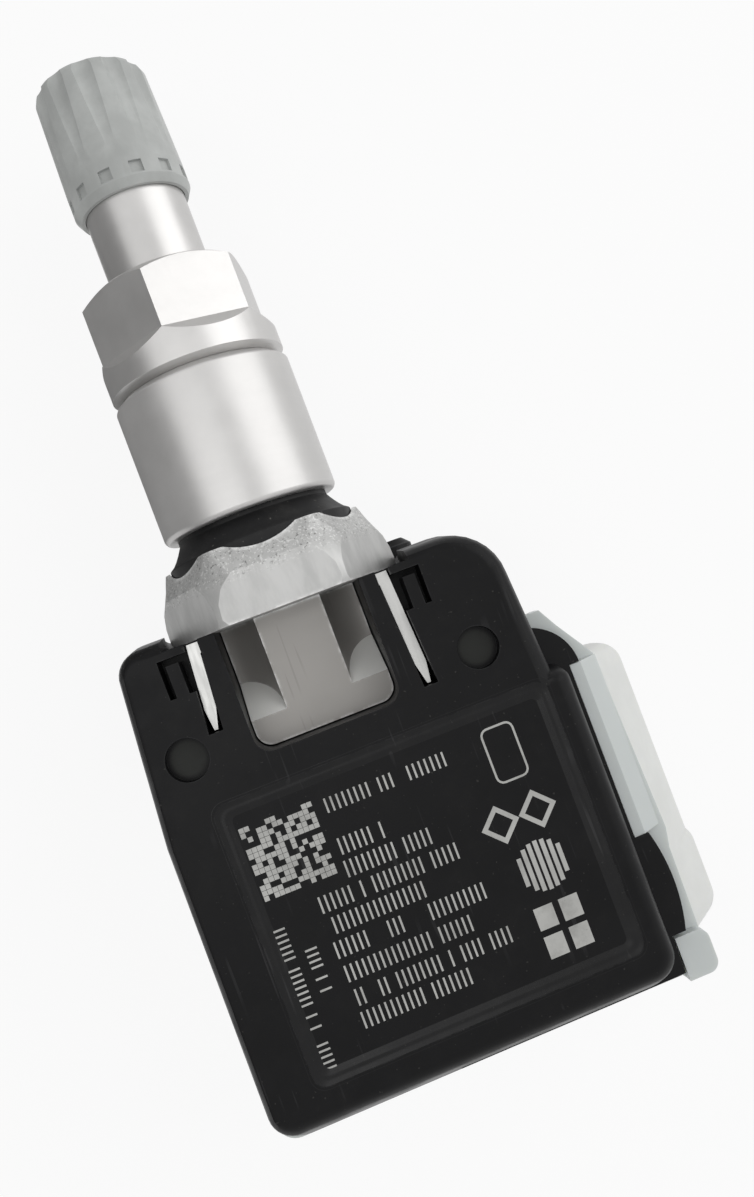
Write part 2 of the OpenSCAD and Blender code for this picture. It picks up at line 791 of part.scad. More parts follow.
module housing() {
    color("darkslategray") from_base() difference() {
        union() {
            housing_form();
            housing_head();
            weld_ledge();
            stop_block();
        }
        round_plate([-cut_w / 2, -cut_len], [cut_w / 2, front_y + 3], foot_corner_r + foot_clearance,
            -foot_back_z - foot_clearance, foot_back_z + foot_clearance + face_z + 1);
        along_stem(0) cylinder(r = base_corner_r + foot_clearance, h = base_h);
        span_box([-base_corner_r - foot_clearance, 0, 0],
            [base_corner_r + foot_clearance, front_y + 1, face_z + 1]);
        clip_room();
        for (side = [-1, 1]) tongue_slot(side);
        for (x = [dimple_left_x, dimple_right_x])
            translate([x, dimple_y, face_z - dimple_depth]) cylinder(d = dimple_d, h = 1);
        round_plate([label_left_x, label_low_y], [label_right_x, label_top_y], label_corner_r,
            face_z - label_depth, 1);
        span_box([room_left_x, room_low_y, parting_z - eps], [room_right_x, room_top_y, room_roof_z]);
        translate([0, cross_bore_y + cross_bore_d / 2, -head_back_z - 1])
            cylinder(d = air_window_d, h = head_back_z + 1 - foot_back_z);
    }
}

module cover_form() {
    tub_front_y = -head_y - small_gap;
    tub_r = 1.6;
    hull() {
        for (x = [-left_x - wall_draft + tub_r, cover_room_right_x + cover_wall - tub_r])
            for (y = [-tail_y - tail_draft + tub_r, tub_front_y - tub_r])
                translate([x, y, belly_z]) cylinder(r = tub_r, h = parting_z - belly_z, $fn = 32);
        for (x = [-left_x + cover_low_in + tub_r, cover_room_right_x + cover_wall - tub_r])
            for (y = [-tail_y - tail_draft + cover_low_in + tub_r, tub_front_y - tub_r])
                translate([x, y, -back_z]) cylinder(r = tub_r, h = eps, $fn = 32);
    }
}

// The part of the cover that bulges out beyond its weld flange on the right
module belly_form(out_x, top_y, low_y) {
    hull() {
        for (y = [top_y - belly_corner_r, low_y + belly_corner_r]) {
            translate([out_x - belly_corner_r, y, belly_z - 1.5]) cylinder(r = belly_corner_r, h = 1.5, $fn = 32);
            translate([flange_x - belly_corner_r, y, parting_z - flange_t])
                cylinder(r = belly_corner_r, h = eps, $fn = 32);
            translate([out_x - belly_corner_r - 2.2, y, -back_z]) cylinder(r = belly_corner_r, h = eps, $fn = 32);
        }
        span_box([cell_x, low_y, -back_z], [cell_x + 1, top_y, parting_z - flange_t]);
    }
}

// The rim on the right that the housing is welded to, with the raised end at the tail
module weld_flange() {
    translate([0, 0, parting_z - flange_t]) linear_extrude(flange_t) polygon(flange_outline);
    round_plate([rail_x + 0.2, flange_low_y], [flange_x, ear_low_y - 0.4], 0.9,
        parting_z - flange_t, flange_t + tail_end_h);
}

// The raised rail between the housing's ears, which slopes down to the flange's edge
module cover_rail() {
    rail_w = flange_x - 0.3 - rail_x;
    translate([rail_x, rail_top_y, parting_z]) rotate([90, 0, 0]) linear_extrude(rail_top_y - rail_low_y)
        polygon([[0, -eps], [rail_w, -eps], [rail_t, rail_h], [0, rail_h]]);
}

module rear_cover() {
    color("ivory") from_base() difference() {
        union() {
            difference() {
                union() {
                    cover_form();
                    belly_form(belly_x, belly_top_y, belly_low_y);
                    belly_form(belly_x + belly_step, belly_step_y, belly_low_y);
                    weld_flange();
                }
                span_box([room_left_x, room_low_y, floor_z], [cover_room_right_x, room_top_y, parting_z + eps]);
                span_box([cell_x, belly_low_y + 1.8, floor_z],
                    [belly_room_x, belly_top_y - 1.6, belly_ceiling_z]);
                span_box([cell_x, belly_low_y + 1.8, floor_z + 1.2],
                    [belly_deep_x, belly_top_y - 1.6, belly_z + 0.2]);
            }
            cover_rail();
            round_plate([-head_left_x, -head_y - 2], [head_right_x, cover_foot_y], 2, -back_z, cover_wall);
            cell_cradle();
            translate([port_x, port_y, floor_z - eps]) cylinder(r = port_tower_r, h = tower_top_z - floor_z);
            for (x = [board_left_x + 2, coil_x + 6]) for (y = [board_low_y + 2, board_top_y - 2])
                translate([x, y, floor_z - eps]) cylinder(r = post_r, h = board_z - floor_z);
        }
        translate([port_x, port_y, -back_z - 1]) cylinder(d = port_d, h = back_z + 1);
        translate([0, cross_bore_y + cross_bore_d / 2, -back_z - 1])
            cylinder(d = air_window_d, h = cover_wall + 2);
    }
}

// The ring in the cover that holds the button cell, open where the tabs leave it
module cell_cradle() {
    outer_r = cell_d / 2 + cradle_gap + cradle_wall;
    translate([cell_x, cell_y, floor_z - eps]) difference() {
        union() {
            tube(outer_r, cell_d / 2 + cradle_gap, cradle_top_z - floor_z);
            tube(outer_r - small_gap, ledge_r, cell_bottom_z - tab_t - small_gap - floor_z);
        }
        translate([-outer_r - 1, tab_bottom_y - cell_y - tab_w / 2 - 0.4, cell_bottom_z - floor_z - tab_t - 0.4])
            cube([outer_r, tab_top_y - tab_bottom_y + tab_w + 0.8, back_z]);
    }
}

module circuit_board() {
    color("darkgreen") from_base() span_box([board_left_x, board_low_y, board_z],
        [board_right_x, board_top_y, board_z + board_t]);
}

module button_cell() {
    rim = 0.5;
    color("lightgray") from_base() translate([cell_x, cell_y, cell_bottom_z]) union() {
        cylinder(d = cell_d, h = cell_t - rim);
        cylinder(d = cell_d - 2 * rim, h = cell_t);
    }
}

module cell_tab_top() {
    color("silver") from_base() union() {
        span_box([tab_reach, tab_top_y - tab_w / 2, cell_top_z], [cell_x, tab_top_y + tab_w / 2, cell_top_z + tab_t]);
        span_box([tab_reach, tab_top_y - tab_w / 2, cell_top_z], [tab_reach + tab_t, tab_top_y + tab_w / 2, board_z]);
    }
}

module cell_tab_bottom() {
    color("silver") from_base() union() {
        span_box([tab_reach, tab_bottom_y - tab_w / 2, cell_bottom_z - tab_t],
            [cell_x, tab_bottom_y + tab_w / 2, cell_bottom_z]);
        span_box([tab_reach, tab_bottom_y - tab_w / 2, cell_bottom_z - tab_t],
            [tab_reach + tab_t, tab_bottom_y + tab_w / 2, board_z]);
    }
}

module sensor_chip() {
    nozzle_r = 1.4;
    nozzle_h = 0.3;
    color("dimgray") from_base() translate([port_x, port_y, board_z - chip_t]) union() {
        translate([-chip_w / 2, -chip_len / 2, nozzle_h]) cube([chip_w, chip_len, chip_t - nozzle_h]);
        tube(nozzle_r, port_d / 2, nozzle_h + eps);
    }
}

module port_seal() {
    color("orangered") from_base() translate([port_x, port_y, tower_top_z + small_gap])
        tube(port_tower_r - 0.4, port_d / 2, seal_t);
}

module lf_coil_core() {
    base_z = board_z + board_t;
    mid_z = base_z + (coil_winding_w - coil_core_t) / 2;
    color("darkslategray") from_base() translate([coil_x, coil_y, 0]) union() {
        for (side = [-1, 1]) span_box([side * (coil_len - coil_end_w) / 2 - coil_end_w / 2, -coil_w / 2, base_z],
            [side * (coil_len - coil_end_w) / 2 + coil_end_w / 2, coil_w / 2, base_z + coil_winding_w + 0.2]);
        span_box([-coil_len / 2 + coil_end_w - eps, -coil_w / 2 + 0.7, mid_z],
            [coil_len / 2 - coil_end_w + eps, coil_w / 2 - 0.7, mid_z + coil_core_t]);
    }
}

module lf_coil_winding() {
    base_z = board_z + board_t;
    mid_z = base_z + (coil_winding_w - coil_core_t) / 2;
    inner = coil_len / 2 - coil_end_w - small_gap;
    color("peru") from_base() translate([coil_x, coil_y, 0]) difference() {
        span_box([-inner, -coil_w / 2 + 0.1, base_z + 0.1], [inner, coil_w / 2 - 0.1, base_z + coil_winding_w]);
        span_box([-inner - 1, -coil_w / 2 + 0.7, mid_z], [inner + 1, coil_w / 2 - 0.7, mid_z + coil_core_t]);
    }
}

module crystal() {
    color("lightgray") from_base() round_plate([1.5, -17.5], [4.7, -15], 0.4, board_z + board_t, 0.8);
}

module capacitors() {
    chip_size = [1.6, 0.8, 0.8];
    color("tan") from_base() for (spot = [[7, -15], [7, -17], [-3, -14.5], [-3, -16.5], [2, -21], [5, -21]])
        translate([spot[0], spot[1], board_z + board_t]) cube(chip_size);
}

// A bent wire along two edges of the board
module antenna_loop() {
    foot_z = board_z + board_t;
    color("darkgoldenrod") from_base() union() {
        translate([antenna_x, antenna_top_y, foot_z]) cylinder(d = antenna_d, h = antenna_z - foot_z);
        translate([antenna_x, antenna_top_y, antenna_z]) sphere(d = antenna_d);
        translate([antenna_x, antenna_low_y, antenna_z]) rotate([-90, 0, 0])
            cylinder(d = antenna_d, h = antenna_top_y - antenna_low_y);
        translate([antenna_x, antenna_low_y, antenna_z]) sphere(d = antenna_d);
        translate([antenna_left_x, antenna_low_y, antenna_z]) rotate([0, 90, 0])
            cylinder(d = antenna_d, h = antenna_x - antenna_left_x);
        translate([antenna_left_x, antenna_low_y, antenna_z]) sphere(d = antenna_d);
        translate([antenna_left_x, antenna_low_y, foot_z]) cylinder(d = antenna_d, h = antenna_z - foot_z);
    }
}

valve_cap();
cap_seal();
core_barrel();
core_gasket();
core_pin();
core_cup_seal();
core_spring();
valve_stem();
hex_nut();
collar_sleeve();
grommet();
retaining_clip();
housing();
rear_cover();
circuit_board();
button_cell();
cell_tab_top();
cell_tab_bottom();
sensor_chip();
port_seal();
lf_coil_core();
lf_coil_winding();
crystal();
capacitors();
antenna_loop();
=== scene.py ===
"""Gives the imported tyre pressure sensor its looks: finishes, soft edges, a thread, marks and wear."""

import math

import bmesh
import bpy
from mathutils import Matrix, Vector


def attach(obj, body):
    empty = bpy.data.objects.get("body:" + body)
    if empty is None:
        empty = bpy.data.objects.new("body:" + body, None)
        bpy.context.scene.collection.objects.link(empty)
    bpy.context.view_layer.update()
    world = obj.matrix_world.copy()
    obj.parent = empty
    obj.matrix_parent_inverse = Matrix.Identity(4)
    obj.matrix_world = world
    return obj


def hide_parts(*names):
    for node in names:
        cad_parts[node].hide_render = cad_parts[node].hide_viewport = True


MM = 0.001

# Heights along the stem in millimetres, counted from the underside of the hex base
SEAT_H = 6.2
CAP_MOUTH_H = 33.3
STEM_TOP_H = 41.6

# The root radius of the thread under the cap, in millimetres
THREAD_ROOT_R = 3.45

# Depths along Z in millimetres, from the stem's axis
REST_Z = -10.5
LABEL_Z = 5.75

# Points nearer than this are merged, in millimetres
MERGE_REACH = 0.002

# Faces that turn less than this are made one, in degrees
FLAT_TURN = 0.8

# The housing's two dimples, in millimetres: their X and the height of both
DIMPLE_X = (-10.5, 12.1)
DIMPLE_H = -7.9

# The photographed camera, in millimetres, with its place counted from the stem's seat
CAMERA_PLACE = (-0.05, -8.2, 78.9)
CAMERA_LOOK = (0.088, 0.0015, -0.9961)
CAMERA_UP = (0.3537, 0.9349, 0.0327)
CAMERA_LENS = 30.08
CAMERA_SENSOR = 36.0

# The marked field's recess in millimetres: its low and high corner in X and Y, and its corner radius
LABEL_LOW = (-10.2, -33.4 - SEAT_H)
LABEL_HIGH = (15.9, -11.8 - SEAT_H)
LABEL_CORNER = 1.0

# Colours as linear red, green and blue
CAP_GREY = (0.50, 0.515, 0.502)
METAL_SILVER = (0.58, 0.572, 0.563)
CAST_SILVER = (0.52, 0.52, 0.512)
RUBBER_BLACK = (0.007, 0.007, 0.0075)
SHELL_BLACK = (0.005, 0.005, 0.0055)
MILKY_WHITE = (0.76, 0.77, 0.75)
# Painted shade on the cover's rail and flange, above its belly
RAIL_PAINTED_SHADE = (0.55, 0.585, 0.58)
MARK_GREY = (0.50, 0.50, 0.48)
DUST_GREY = (0.10, 0.097, 0.09)
SPECK_SILVER = (0.75, 0.75, 0.74)
PIT_GREY = (0.10, 0.10, 0.095)
FOOT_GREY = (0.335, 0.322, 0.305)
FOOT_SCRATCH = (0.20, 0.19, 0.18)
# Painted highlight on the foot's ramps that face up the stem, lighter where light falls on them
FOOT_RAMP_HIGHLIGHT = (0.92, 0.92, 0.89)
WORN_SILVER = (0.80, 0.80, 0.79)
WORN_MILKY = (0.86, 0.87, 0.85)
# Painted light on the floors of the housing's two dimples
DIMPLE_PAINTED_LIGHT = (0.022, 0.023, 0.021)

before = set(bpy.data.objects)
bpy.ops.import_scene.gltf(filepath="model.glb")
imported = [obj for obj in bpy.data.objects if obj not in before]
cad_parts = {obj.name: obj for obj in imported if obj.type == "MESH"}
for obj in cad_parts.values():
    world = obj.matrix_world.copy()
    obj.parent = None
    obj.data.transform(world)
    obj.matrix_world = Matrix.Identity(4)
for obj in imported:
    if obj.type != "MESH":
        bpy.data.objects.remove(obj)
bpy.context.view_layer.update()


# Small helpers for places and meshes


def along(height):
    """The Y, in metres, of a height above the hex base's underside in millimetres."""
    return (height - SEAT_H) * MM


def add_object(name, data):
    piece = bpy.data.objects.new(name, data)
    bpy.context.scene.collection.objects.link(piece)
    return piece


def shade_smooth(mesh, angle):
    """Smooths a mesh, with its edges sharp where they turn more than angle degrees."""
    mesh.polygons.foreach_set("use_smooth", [True] * len(mesh.polygons))
    mesh.set_sharp_from_angle(angle=math.radians(angle))


def bake_modifiers(piece):
    """Turns an object's modifiers into its plain mesh."""
    graph = bpy.context.evaluated_depsgraph_get()
    graph.update()
    mesh = bpy.data.meshes.new_from_object(piece.evaluated_get(graph), depsgraph=graph)
    mesh.name = piece.name
    piece.modifiers.clear()
    piece.data = mesh
    return mesh


def dress(piece, body, material):
    piece.data.materials.clear()
    piece.data.materials.append(material)
    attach(piece, body)


def mesh_from(shell, name):
    """Turns a working mesh into a new plain one."""
    mesh = bpy.data.meshes.new(name)
    shell.to_mesh(mesh)
    shell.free()
    return mesh


def soften(node, body, material, width, angle=28, reshape=None):
    """Replaces a node with a copy of it whose sharp edges are rounded. Width is in millimetres."""
    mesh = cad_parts[node].data.copy()
    shell = bmesh.new()
    shell.from_mesh(mesh)
    bmesh.ops.remove_doubles(shell, verts=shell.verts, dist=MERGE_REACH * MM)
    if reshape is not None:
        reshape(shell)
    flat = math.radians(FLAT_TURN)
    bmesh.ops.dissolve_limit(shell, angle_limit=flat, verts=shell.verts, edges=shell.edges)
    shell.to_mesh(mesh)
    shell.free()
    piece = add_object(node + "_finished", mesh)
    rounding = piece.modifiers.new("rounded edges", "BEVEL")
    rounding.width = width * MM
    rounding.segments = 3
    rounding.limit_method = "ANGLE"
    rounding.angle_limit = math.radians(angle)
    rounding.use_clamp_overlap = True
    bake_modifiers(piece)
    shade_smooth(piece.data, 40)
    evening = piece.modifiers.new("even flats", "WEIGHTED_NORMAL")
    evening.keep_sharp = True
    bake_modifiers(piece)
    dress(piece, body, material)
    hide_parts(node)


# Node tree helpers, for shaders and for geometry alike


def plug(tree, source, target):
    """Sets a socket from another socket or from a plain value."""
    if isinstance(source, bpy.types.NodeSocket):
        tree.links.new(source, target)
    else:
        target.default_value = source


def calc(tree, operation, first, second=0.0):
    node = tree.nodes.new("ShaderNodeMath")
    node.operation = operation
    plug(tree, first, node.inputs[0])
    plug(tree, second, node.inputs[1])
    return node.outputs[0]


def times(tree, first, second):
    return calc(tree, "MULTIPLY", first, second)


def plus(tree, first, second):
    return calc(tree, "ADD", first, second)


def flat_length(tree, first, second):
    """The length of a flat vector with these two parts."""
    return calc(tree, "SQRT", plus(tree, times(tree, first, first), times(tree, second, second)))


def ramp(tree, value, low, high, to_low=0.0, to_high=1.0):
    """Maps a value from one range to another, smoothly and held at both ends."""
    node = tree.nodes.new("ShaderNodeMapRange")
    node.interpolation_type = "SMOOTHSTEP"
    plug(tree, value, node.inputs["Value"])
    plug(tree, low, node.inputs["From Min"])
    plug(tree, high, node.inputs["From Max"])
    plug(tree, to_low, node.inputs["To Min"])
    plug(tree, to_high, node.inputs["To Max"])
    return node.outputs["Result"]


def noise(tree, vector, scale, detail=3.0, roughness=0.55):
    node = tree.nodes.new("ShaderNodeTexNoise")
    plug(tree, vector, node.inputs["Vector"])
    plug(tree, scale, node.inputs["Scale"])
    node.inputs["Detail"].default_value = detail
    node.inputs["Roughness"].default_value = roughness
    return node.outputs["Fac"]


def object_point(tree):
    return tree.nodes.new("ShaderNodeTexCoord").outputs["Object"]


def stretched(tree, vector, scale, turn=(0.0, 0.0, 0.0)):
    node = tree.nodes.new("ShaderNodeMapping")
    plug(tree, vector, node.inputs["Vector"])
    node.inputs["Scale"].default_value = scale
    node.inputs["Rotation"].default_value = turn
    return node.outputs["Vector"]


def split(tree, vector):
    node = tree.nodes.new("ShaderNodeSeparateXYZ")
    plug(tree, vector, node.inputs[0])
    return node.outputs


def join_parts(tree, x, y=0.0, z=0.0):
    node = tree.nodes.new("ShaderNodeCombineXYZ")
    plug(tree, x, node.inputs["X"])
    plug(tree, y, node.inputs["Y"])
    plug(tree, z, node.inputs["Z"])
    return node.outputs[0]


def blend_colors(tree, factor, first, second):
    """Mixes two colours, which are inputs 6 and 7 and output 2 of a Mix node."""
    node = tree.nodes.new("ShaderNodeMix")
    node.data_type = "RGBA"
    plug(tree, factor, node.inputs[0])
    plug(tree, (*first, 1.0) if isinstance(first, tuple) else first, node.inputs[6])
    plug(tree, (*second, 1.0) if isinstance(second, tuple) else second, node.inputs[7])
    return node.outputs[2]


def new_group(name, inputs, outputs):
    """A shader node group with named number inputs and outputs."""
    group = bpy.data.node_groups.new(name, "ShaderNodeTree")
    for label, value in inputs.items():
        socket = group.interface.new_socket(name=label, in_out="INPUT", socket_type="NodeSocketFloat")
        socket.default_value = value
    for label in outputs:
        group.interface.new_socket(name=label, in_out="OUTPUT", socket_type="NodeSocketFloat")
    source = group.nodes.new("NodeGroupInput")
    target = group.nodes.new("NodeGroupOutput")
    return group, source.outputs, target.inputs


def place_group(tree, group, values):
    node = tree.nodes.new("ShaderNodeGroup")
    node.node_tree = group
    for label, value in values.items():
        plug(tree, value, node.inputs[label])
    return node.outputs


# Effects that several finishes share


def make_moulded_grain():
    """The fine spark-eroded grain of moulded plastic and rubber."""
    inputs = {"Fineness": 9000.0, "Blotch size": 260.0}
    tree, given, result = new_group("moulded_grain", inputs, ["Height", "Tone"])
    point = object_point(tree)
    fine = noise(tree, point, given["Fineness"], 2.0, 0.6)
    blotch = noise(tree, point, given["Blotch size"], 4.0, 0.6)
    plug(tree, plus(tree, times(tree, fine, 0.8), times(tree, blotch, 0.2)), result["Height"])
    plug(tree, ramp(tree, blotch, 0.35, 0.7), result["Tone"])
    return tree


def make_turning_marks():
    """Fine rings that a lathe leaves, round the stem's axis."""
    tree, given, result = new_group("turning_marks", {"Ring density": 9000.0}, ["Height", "Tone"])
    point = object_point(tree)
    part = split(tree, point)
    profile = join_parts(tree, part["Y"], flat_length(tree, part["X"], part["Z"]))
    rings = noise(tree, profile, given["Ring density"], 3.0, 0.7)
    drift = noise(tree, stretched(tree, point, (1.0, 6.0, 1.0)), 160.0, 2.0)
    tone = times(tree, ramp(tree, rings, 0.3, 0.7), ramp(tree, drift, 0.2, 0.8, 0.4, 1.0))
    plug(tree, rings, result["Height"])
    plug(tree, tone, result["Tone"])
    return tree


def make_edge_wear():
    """A mask of the worn, brighter edges, broken up by noise."""
    tree, given, result = new_group("edge_wear", {"Reach": 0.00025, "Amount": 1.0}, ["Mask"])
    rounded = tree.nodes.new("ShaderNodeBevel")
    rounded.samples = 6
    plug(tree, given["Reach"], rounded.inputs["Radius"])
    flat = tree.nodes.new("ShaderNodeNewGeometry")
    match = tree.nodes.new("ShaderNodeVectorMath")
    match.operation = "DOT_PRODUCT"
    plug(tree, rounded.outputs[0], match.inputs[0])
    plug(tree, flat.outputs["Normal"], match.inputs[1])
    edge = ramp(tree, calc(tree, "SUBTRACT", 1.0, match.outputs["Value"]), 0.02, 0.22)
    broken = ramp(tree, noise(tree, object_point(tree), 900.0, 4.0, 0.7), 0.38, 0.62)
    plug(tree, times(tree, times(tree, edge, broken), given["Amount"]), result["Mask"])
    return tree


def make_dust():
    """A mask of dust: a thin film that lies on what faces up, with a few specks."""
    tree, given, result = new_group("dust", {"Film": 0.25, "Specks": 0.5}, ["Mask"])
    point = object_point(tree)
    normal = split(tree, tree.nodes.new("ShaderNodeNewGeometry").outputs["Normal"])
    facing = ramp(tree, normal["Z"], -0.1, 0.8, 0.25, 1.0)
    film = ramp(tree, noise(tree, point, 420.0, 6.0, 0.7), 0.45, 0.8)
    speck_field = noise(tree, point, 3800.0, 1.0, 0.4)
    specks = ramp(tree, speck_field, 0.74, 0.78)
    layer = plus(tree, times(tree, film, given["Film"]), times(tree, specks, given["Specks"]))
    plug(tree, times(tree, layer, facing), result["Mask"])
    return tree


def make_scratches():
    """A mask of thin, faint scratches in three directions."""
    tree, given, result = new_group("scratches", {"Amount": 0.5}, ["Mask"])
    point = object_point(tree)
    total = None
    for turn, scale in ((0.35, 2600.0), (1.9, 3300.0), (2.6, 2100.0)):
        lines = noise(tree, stretched(tree, point, (1.0, 0.03, 1.0), (0.0, 0.0, turn)), scale, 0.0)
        patch = noise(tree, stretched(tree, point, (1.0, 1.0, 1.0), (0.0, 0.0, turn)), 210.0, 1.0)
        thin = times(tree, ramp(tree, lines, 0.74, 0.78), ramp(tree, patch, 0.52, 0.66))
        total = thin if total is None else calc(tree, "MAXIMUM", total, thin)
    plug(tree, times(tree, total, given["Amount"]), result["Mask"])
    return tree


GRAIN = make_moulded_grain()
TURNING = make_turning_marks()
WEAR = make_edge_wear()
DUST = make_dust()
SCRATCHES = make_scratches()


# Finishes


def new_finish(name, color, roughness, metallic=0.0):
    material = bpy.data.materials.new(name)
    material.use_nodes = True
    tree = material.node_tree
    shader = tree.nodes["Principled BSDF"]
    shader.inputs["Base Color"].default_value = (*color, 1.0)
    shader.inputs["Roughness"].default_value = roughness
    shader.inputs["Metallic"].default_value = metallic
    return material, tree, shader


def nodes_of(material):
    """The node tree and the shader of a finish."""
    return material.node_tree, material.node_tree.nodes["Principled BSDF"]


def add_bump(tree, shader, height, strength, depth):
    """Raises the surface by height. Depth is in millimetres."""
    node = tree.nodes.new("ShaderNodeBump")
    node.inputs["Strength"].default_value = strength
    node.inputs["Distance"].default_value = depth * MM
    plug(tree, height, node.inputs["Height"])
    plug(tree, node.outputs["Normal"], shader.inputs["Normal"])


def tint(tree, shader, mask, color):
    """Blends a colour over what feeds the shader's base colour already."""
    base = shader.inputs["Base Color"]
    plug(tree, blend_colors(tree, mask, base.links[0].from_socket, color), base)


def moulded_plastic(name, color, roughness, worn_color, wear=0.4, film=0.0, specks=0.0, scratch=0.3,
                    fineness=9000.0, depth=0.012, specular=0.4, blotch=0.82):
    """Moulded plastic or rubber, with its grain, pale edges, scratches and a little dust."""
    material, tree, shader = new_finish(name, color, roughness)
    shader.inputs["Specular IOR Level"].default_value = specular
    grain = place_group(tree, GRAIN, {"Fineness": fineness})
    edges = place_group(tree, WEAR, {"Reach": 0.0002, "Amount": wear})
    dust = place_group(tree, DUST, {"Film": film, "Specks": specks})
    scratches = place_group(tree, SCRATCHES, {"Amount": scratch})
    darker = tuple(blotch * part for part in color)
    tinted = blend_colors(tree, grain["Tone"], darker, color)
    worn = blend_colors(tree, calc(tree, "MAXIMUM", edges["Mask"], scratches["Mask"]), tinted, worn_color)
    dusty = blend_colors(tree, dust["Mask"], worn, DUST_GREY)
    plug(tree, dusty, shader.inputs["Base Color"])
    uneven = ramp(tree, grain["Tone"], 0.0, 1.0, roughness - 0.05, roughness + 0.06)
    plug(tree, plus(tree, uneven, times(tree, dust["Mask"], 0.3)), shader.inputs["Roughness"])
    add_bump(tree, shader, grain["Height"], 0.6, depth)
    return material


def turned_metal(name, color, roughness, density=9000.0, depth=0.004, metallic=0.8):
    """Machined aluminium with fine rings, slightly uneven gloss and bright edges."""
    material, tree, shader = new_finish(name, color, roughness, metallic)
    marks = place_group(tree, TURNING, {"Ring density": density})
    edges = place_group(tree, WEAR, {"Reach": 0.0002, "Amount": 0.7})
    smudge = noise(tree, object_point(tree), 240.0, 4.0, 0.6)
    darker = tuple(0.93 * part for part in color)
    bright = tuple(min(1.0, 1.25 * part) for part in color)
    tinted = blend_colors(tree, ramp(tree, smudge, 0.3, 0.7), darker, color)
    plug(tree, blend_colors(tree, edges["Mask"], tinted, bright), shader.inputs["Base Color"])
    ringed = ramp(tree, marks["Tone"], 0.0, 1.0, roughness - 0.02, roughness + 0.04)
    smudged = ramp(tree, smudge, 0.35, 0.75, 0.0, 0.05)
    plug(tree, plus(tree, ringed, smudged), shader.inputs["Roughness"])
    add_bump(tree, shader, marks["Height"], 0.10, depth)
    return material


def cast_color(tree, point, bevel, pits):
    """The cast base's drifting tone, with bright specks and dark pits on its rough bevel."""
    drift = noise(tree, stretched(tree, point, (1.0, 0.35, 1.0), (0.0, 0.0, 0.9)), 700.0, 4.0, 0.6)
    darker = tuple(0.82 * level for level in CAST_SILVER)
    plain = blend_colors(tree, ramp(tree, drift, 0.3, 0.7), darker, CAST_SILVER)
    specks = times(tree, ramp(tree, noise(tree, point, 5600.0, 1.0, 0.5), 0.57, 0.66), bevel)
    pitted = times(tree, ramp(tree, pits, 0.43, 0.36), bevel)
    specked = blend_colors(tree, times(tree, specks, 0.6), plain, SPECK_SILVER)
    return blend_colors(tree, times(tree, pitted, 0.75), specked, PIT_GREY)


def foot_color(tree):
    """The scratched grey of the foot, with a painted highlight on the ramps that face up the stem."""
    scratches = place_group(tree, SCRATCHES, {"Amount": 0.3})
    scratched = blend_colors(tree, scratches["Mask"], FOOT_GREY, FOOT_SCRATCH)
    facing = split(tree, tree.nodes.new("ShaderNodeNewGeometry").outputs["Normal"])
    # Painted highlight: faces of the foot that turn up the stem get a lighter colour
    return blend_colors(tree, ramp(tree, facing["Y"], 0.5, 0.65), scratched, FOOT_RAMP_HIGHLIGHT)


def stem_metal():
    """The stem: turned above its hex base and cast below, with a rough, pitted bevel on the base."""
    material = turned_metal("stem_metal", METAL_SILVER, 0.34)
    tree, shader = nodes_of(material)
    point = object_point(tree)
    part = split(tree, point)
    cast = ramp(tree, part["Y"], along(5.5), along(5.7), 1.0, 0.0)
    bevel = times(tree, ramp(tree, part["Y"], along(2.4), along(3.6)), cast)
    foot = ramp(tree, part["Y"], along(-0.3), along(0.1), 1.0, 0.0)
    pits = noise(tree, point, 3600.0, 4.0, 0.75)
    lower = blend_colors(tree, foot, cast_color(tree, point, bevel, pits), foot_color(tree))
    tint(tree, shader, cast, lower)
    edges = place_group(tree, WEAR, {"Reach": 0.0005, "Amount": 0.9})
    tint(tree, shader, edges["Mask"], WORN_SILVER)
    matt = plus(tree, times(tree, cast, 0.35), times(tree, foot, 0.2))
    plug(tree, calc(tree, "SUBTRACT", 0.8, matt), shader.inputs["Metallic"])
    gloss = shader.inputs["Roughness"]
    plug(tree, plus(tree, gloss.links[0].from_socket, times(tree, cast, 0.12)), gloss)
    bump = shader.inputs["Normal"].links[0].from_node
    bump.inputs["Strength"].default_value = 0.5
    height = bump.inputs["Height"]
    fine_rings = times(tree, height.links[0].from_socket, 0.2)
    rough = times(tree, pits, plus(tree, times(tree, bevel, 7.0), cast))
    plug(tree, plus(tree, fine_rings, rough), height)
    return material


def paint_light_in_dimples(material):
    """Painted light: the floors of the housing's two round dimples are a little lighter."""
    tree, shader = nodes_of(material)
    floor_r = 1.1 * MM
    rim_r = 1.5 * MM
    part = split(tree, object_point(tree))
    up = calc(tree, "SUBTRACT", part["Y"], along(DIMPLE_H))
    total = 0.0
    for x in DIMPLE_X:
        across = calc(tree, "SUBTRACT", part["X"], x * MM)
        lit_floor = ramp(tree, flat_length(tree, across, up), floor_r, rim_r, 1.0, 0.0)
        total = calc(tree, "MAXIMUM", lit_floor, total)
    # Painted light: the dimple floors are lightened
    tint(tree, shader, total, DIMPLE_PAINTED_LIGHT)


def milky_plastic():
    """The cover's milky plastic, which lets a little light in, with painted shade that greys its rail and
    flange above the belly.
    """
    material = moulded_plastic("cover_milky", MILKY_WHITE, 0.38, WORN_MILKY, wear=0.5, film=0.02,
                               specks=0.05, scratch=0.0, fineness=5000.0, depth=0.006, blotch=0.94)
    tree, shader = nodes_of(material)
    shader.inputs["Subsurface Weight"].default_value = 0.3
    shader.inputs["Subsurface Radius"].default_value = (0.9, 0.9, 0.75)
    shader.inputs["Subsurface Scale"].default_value = MM
    height = split(tree, object_point(tree))["Z"]
    # Painted shade: everything above the belly, the rail and flange, is greyed as if in half shade
    rail = ramp(tree, height, -1.2 * MM, -0.2 * MM)
    tint(tree, shader, times(tree, rail, 0.85), RAIL_PAINTED_SHADE)
    return material


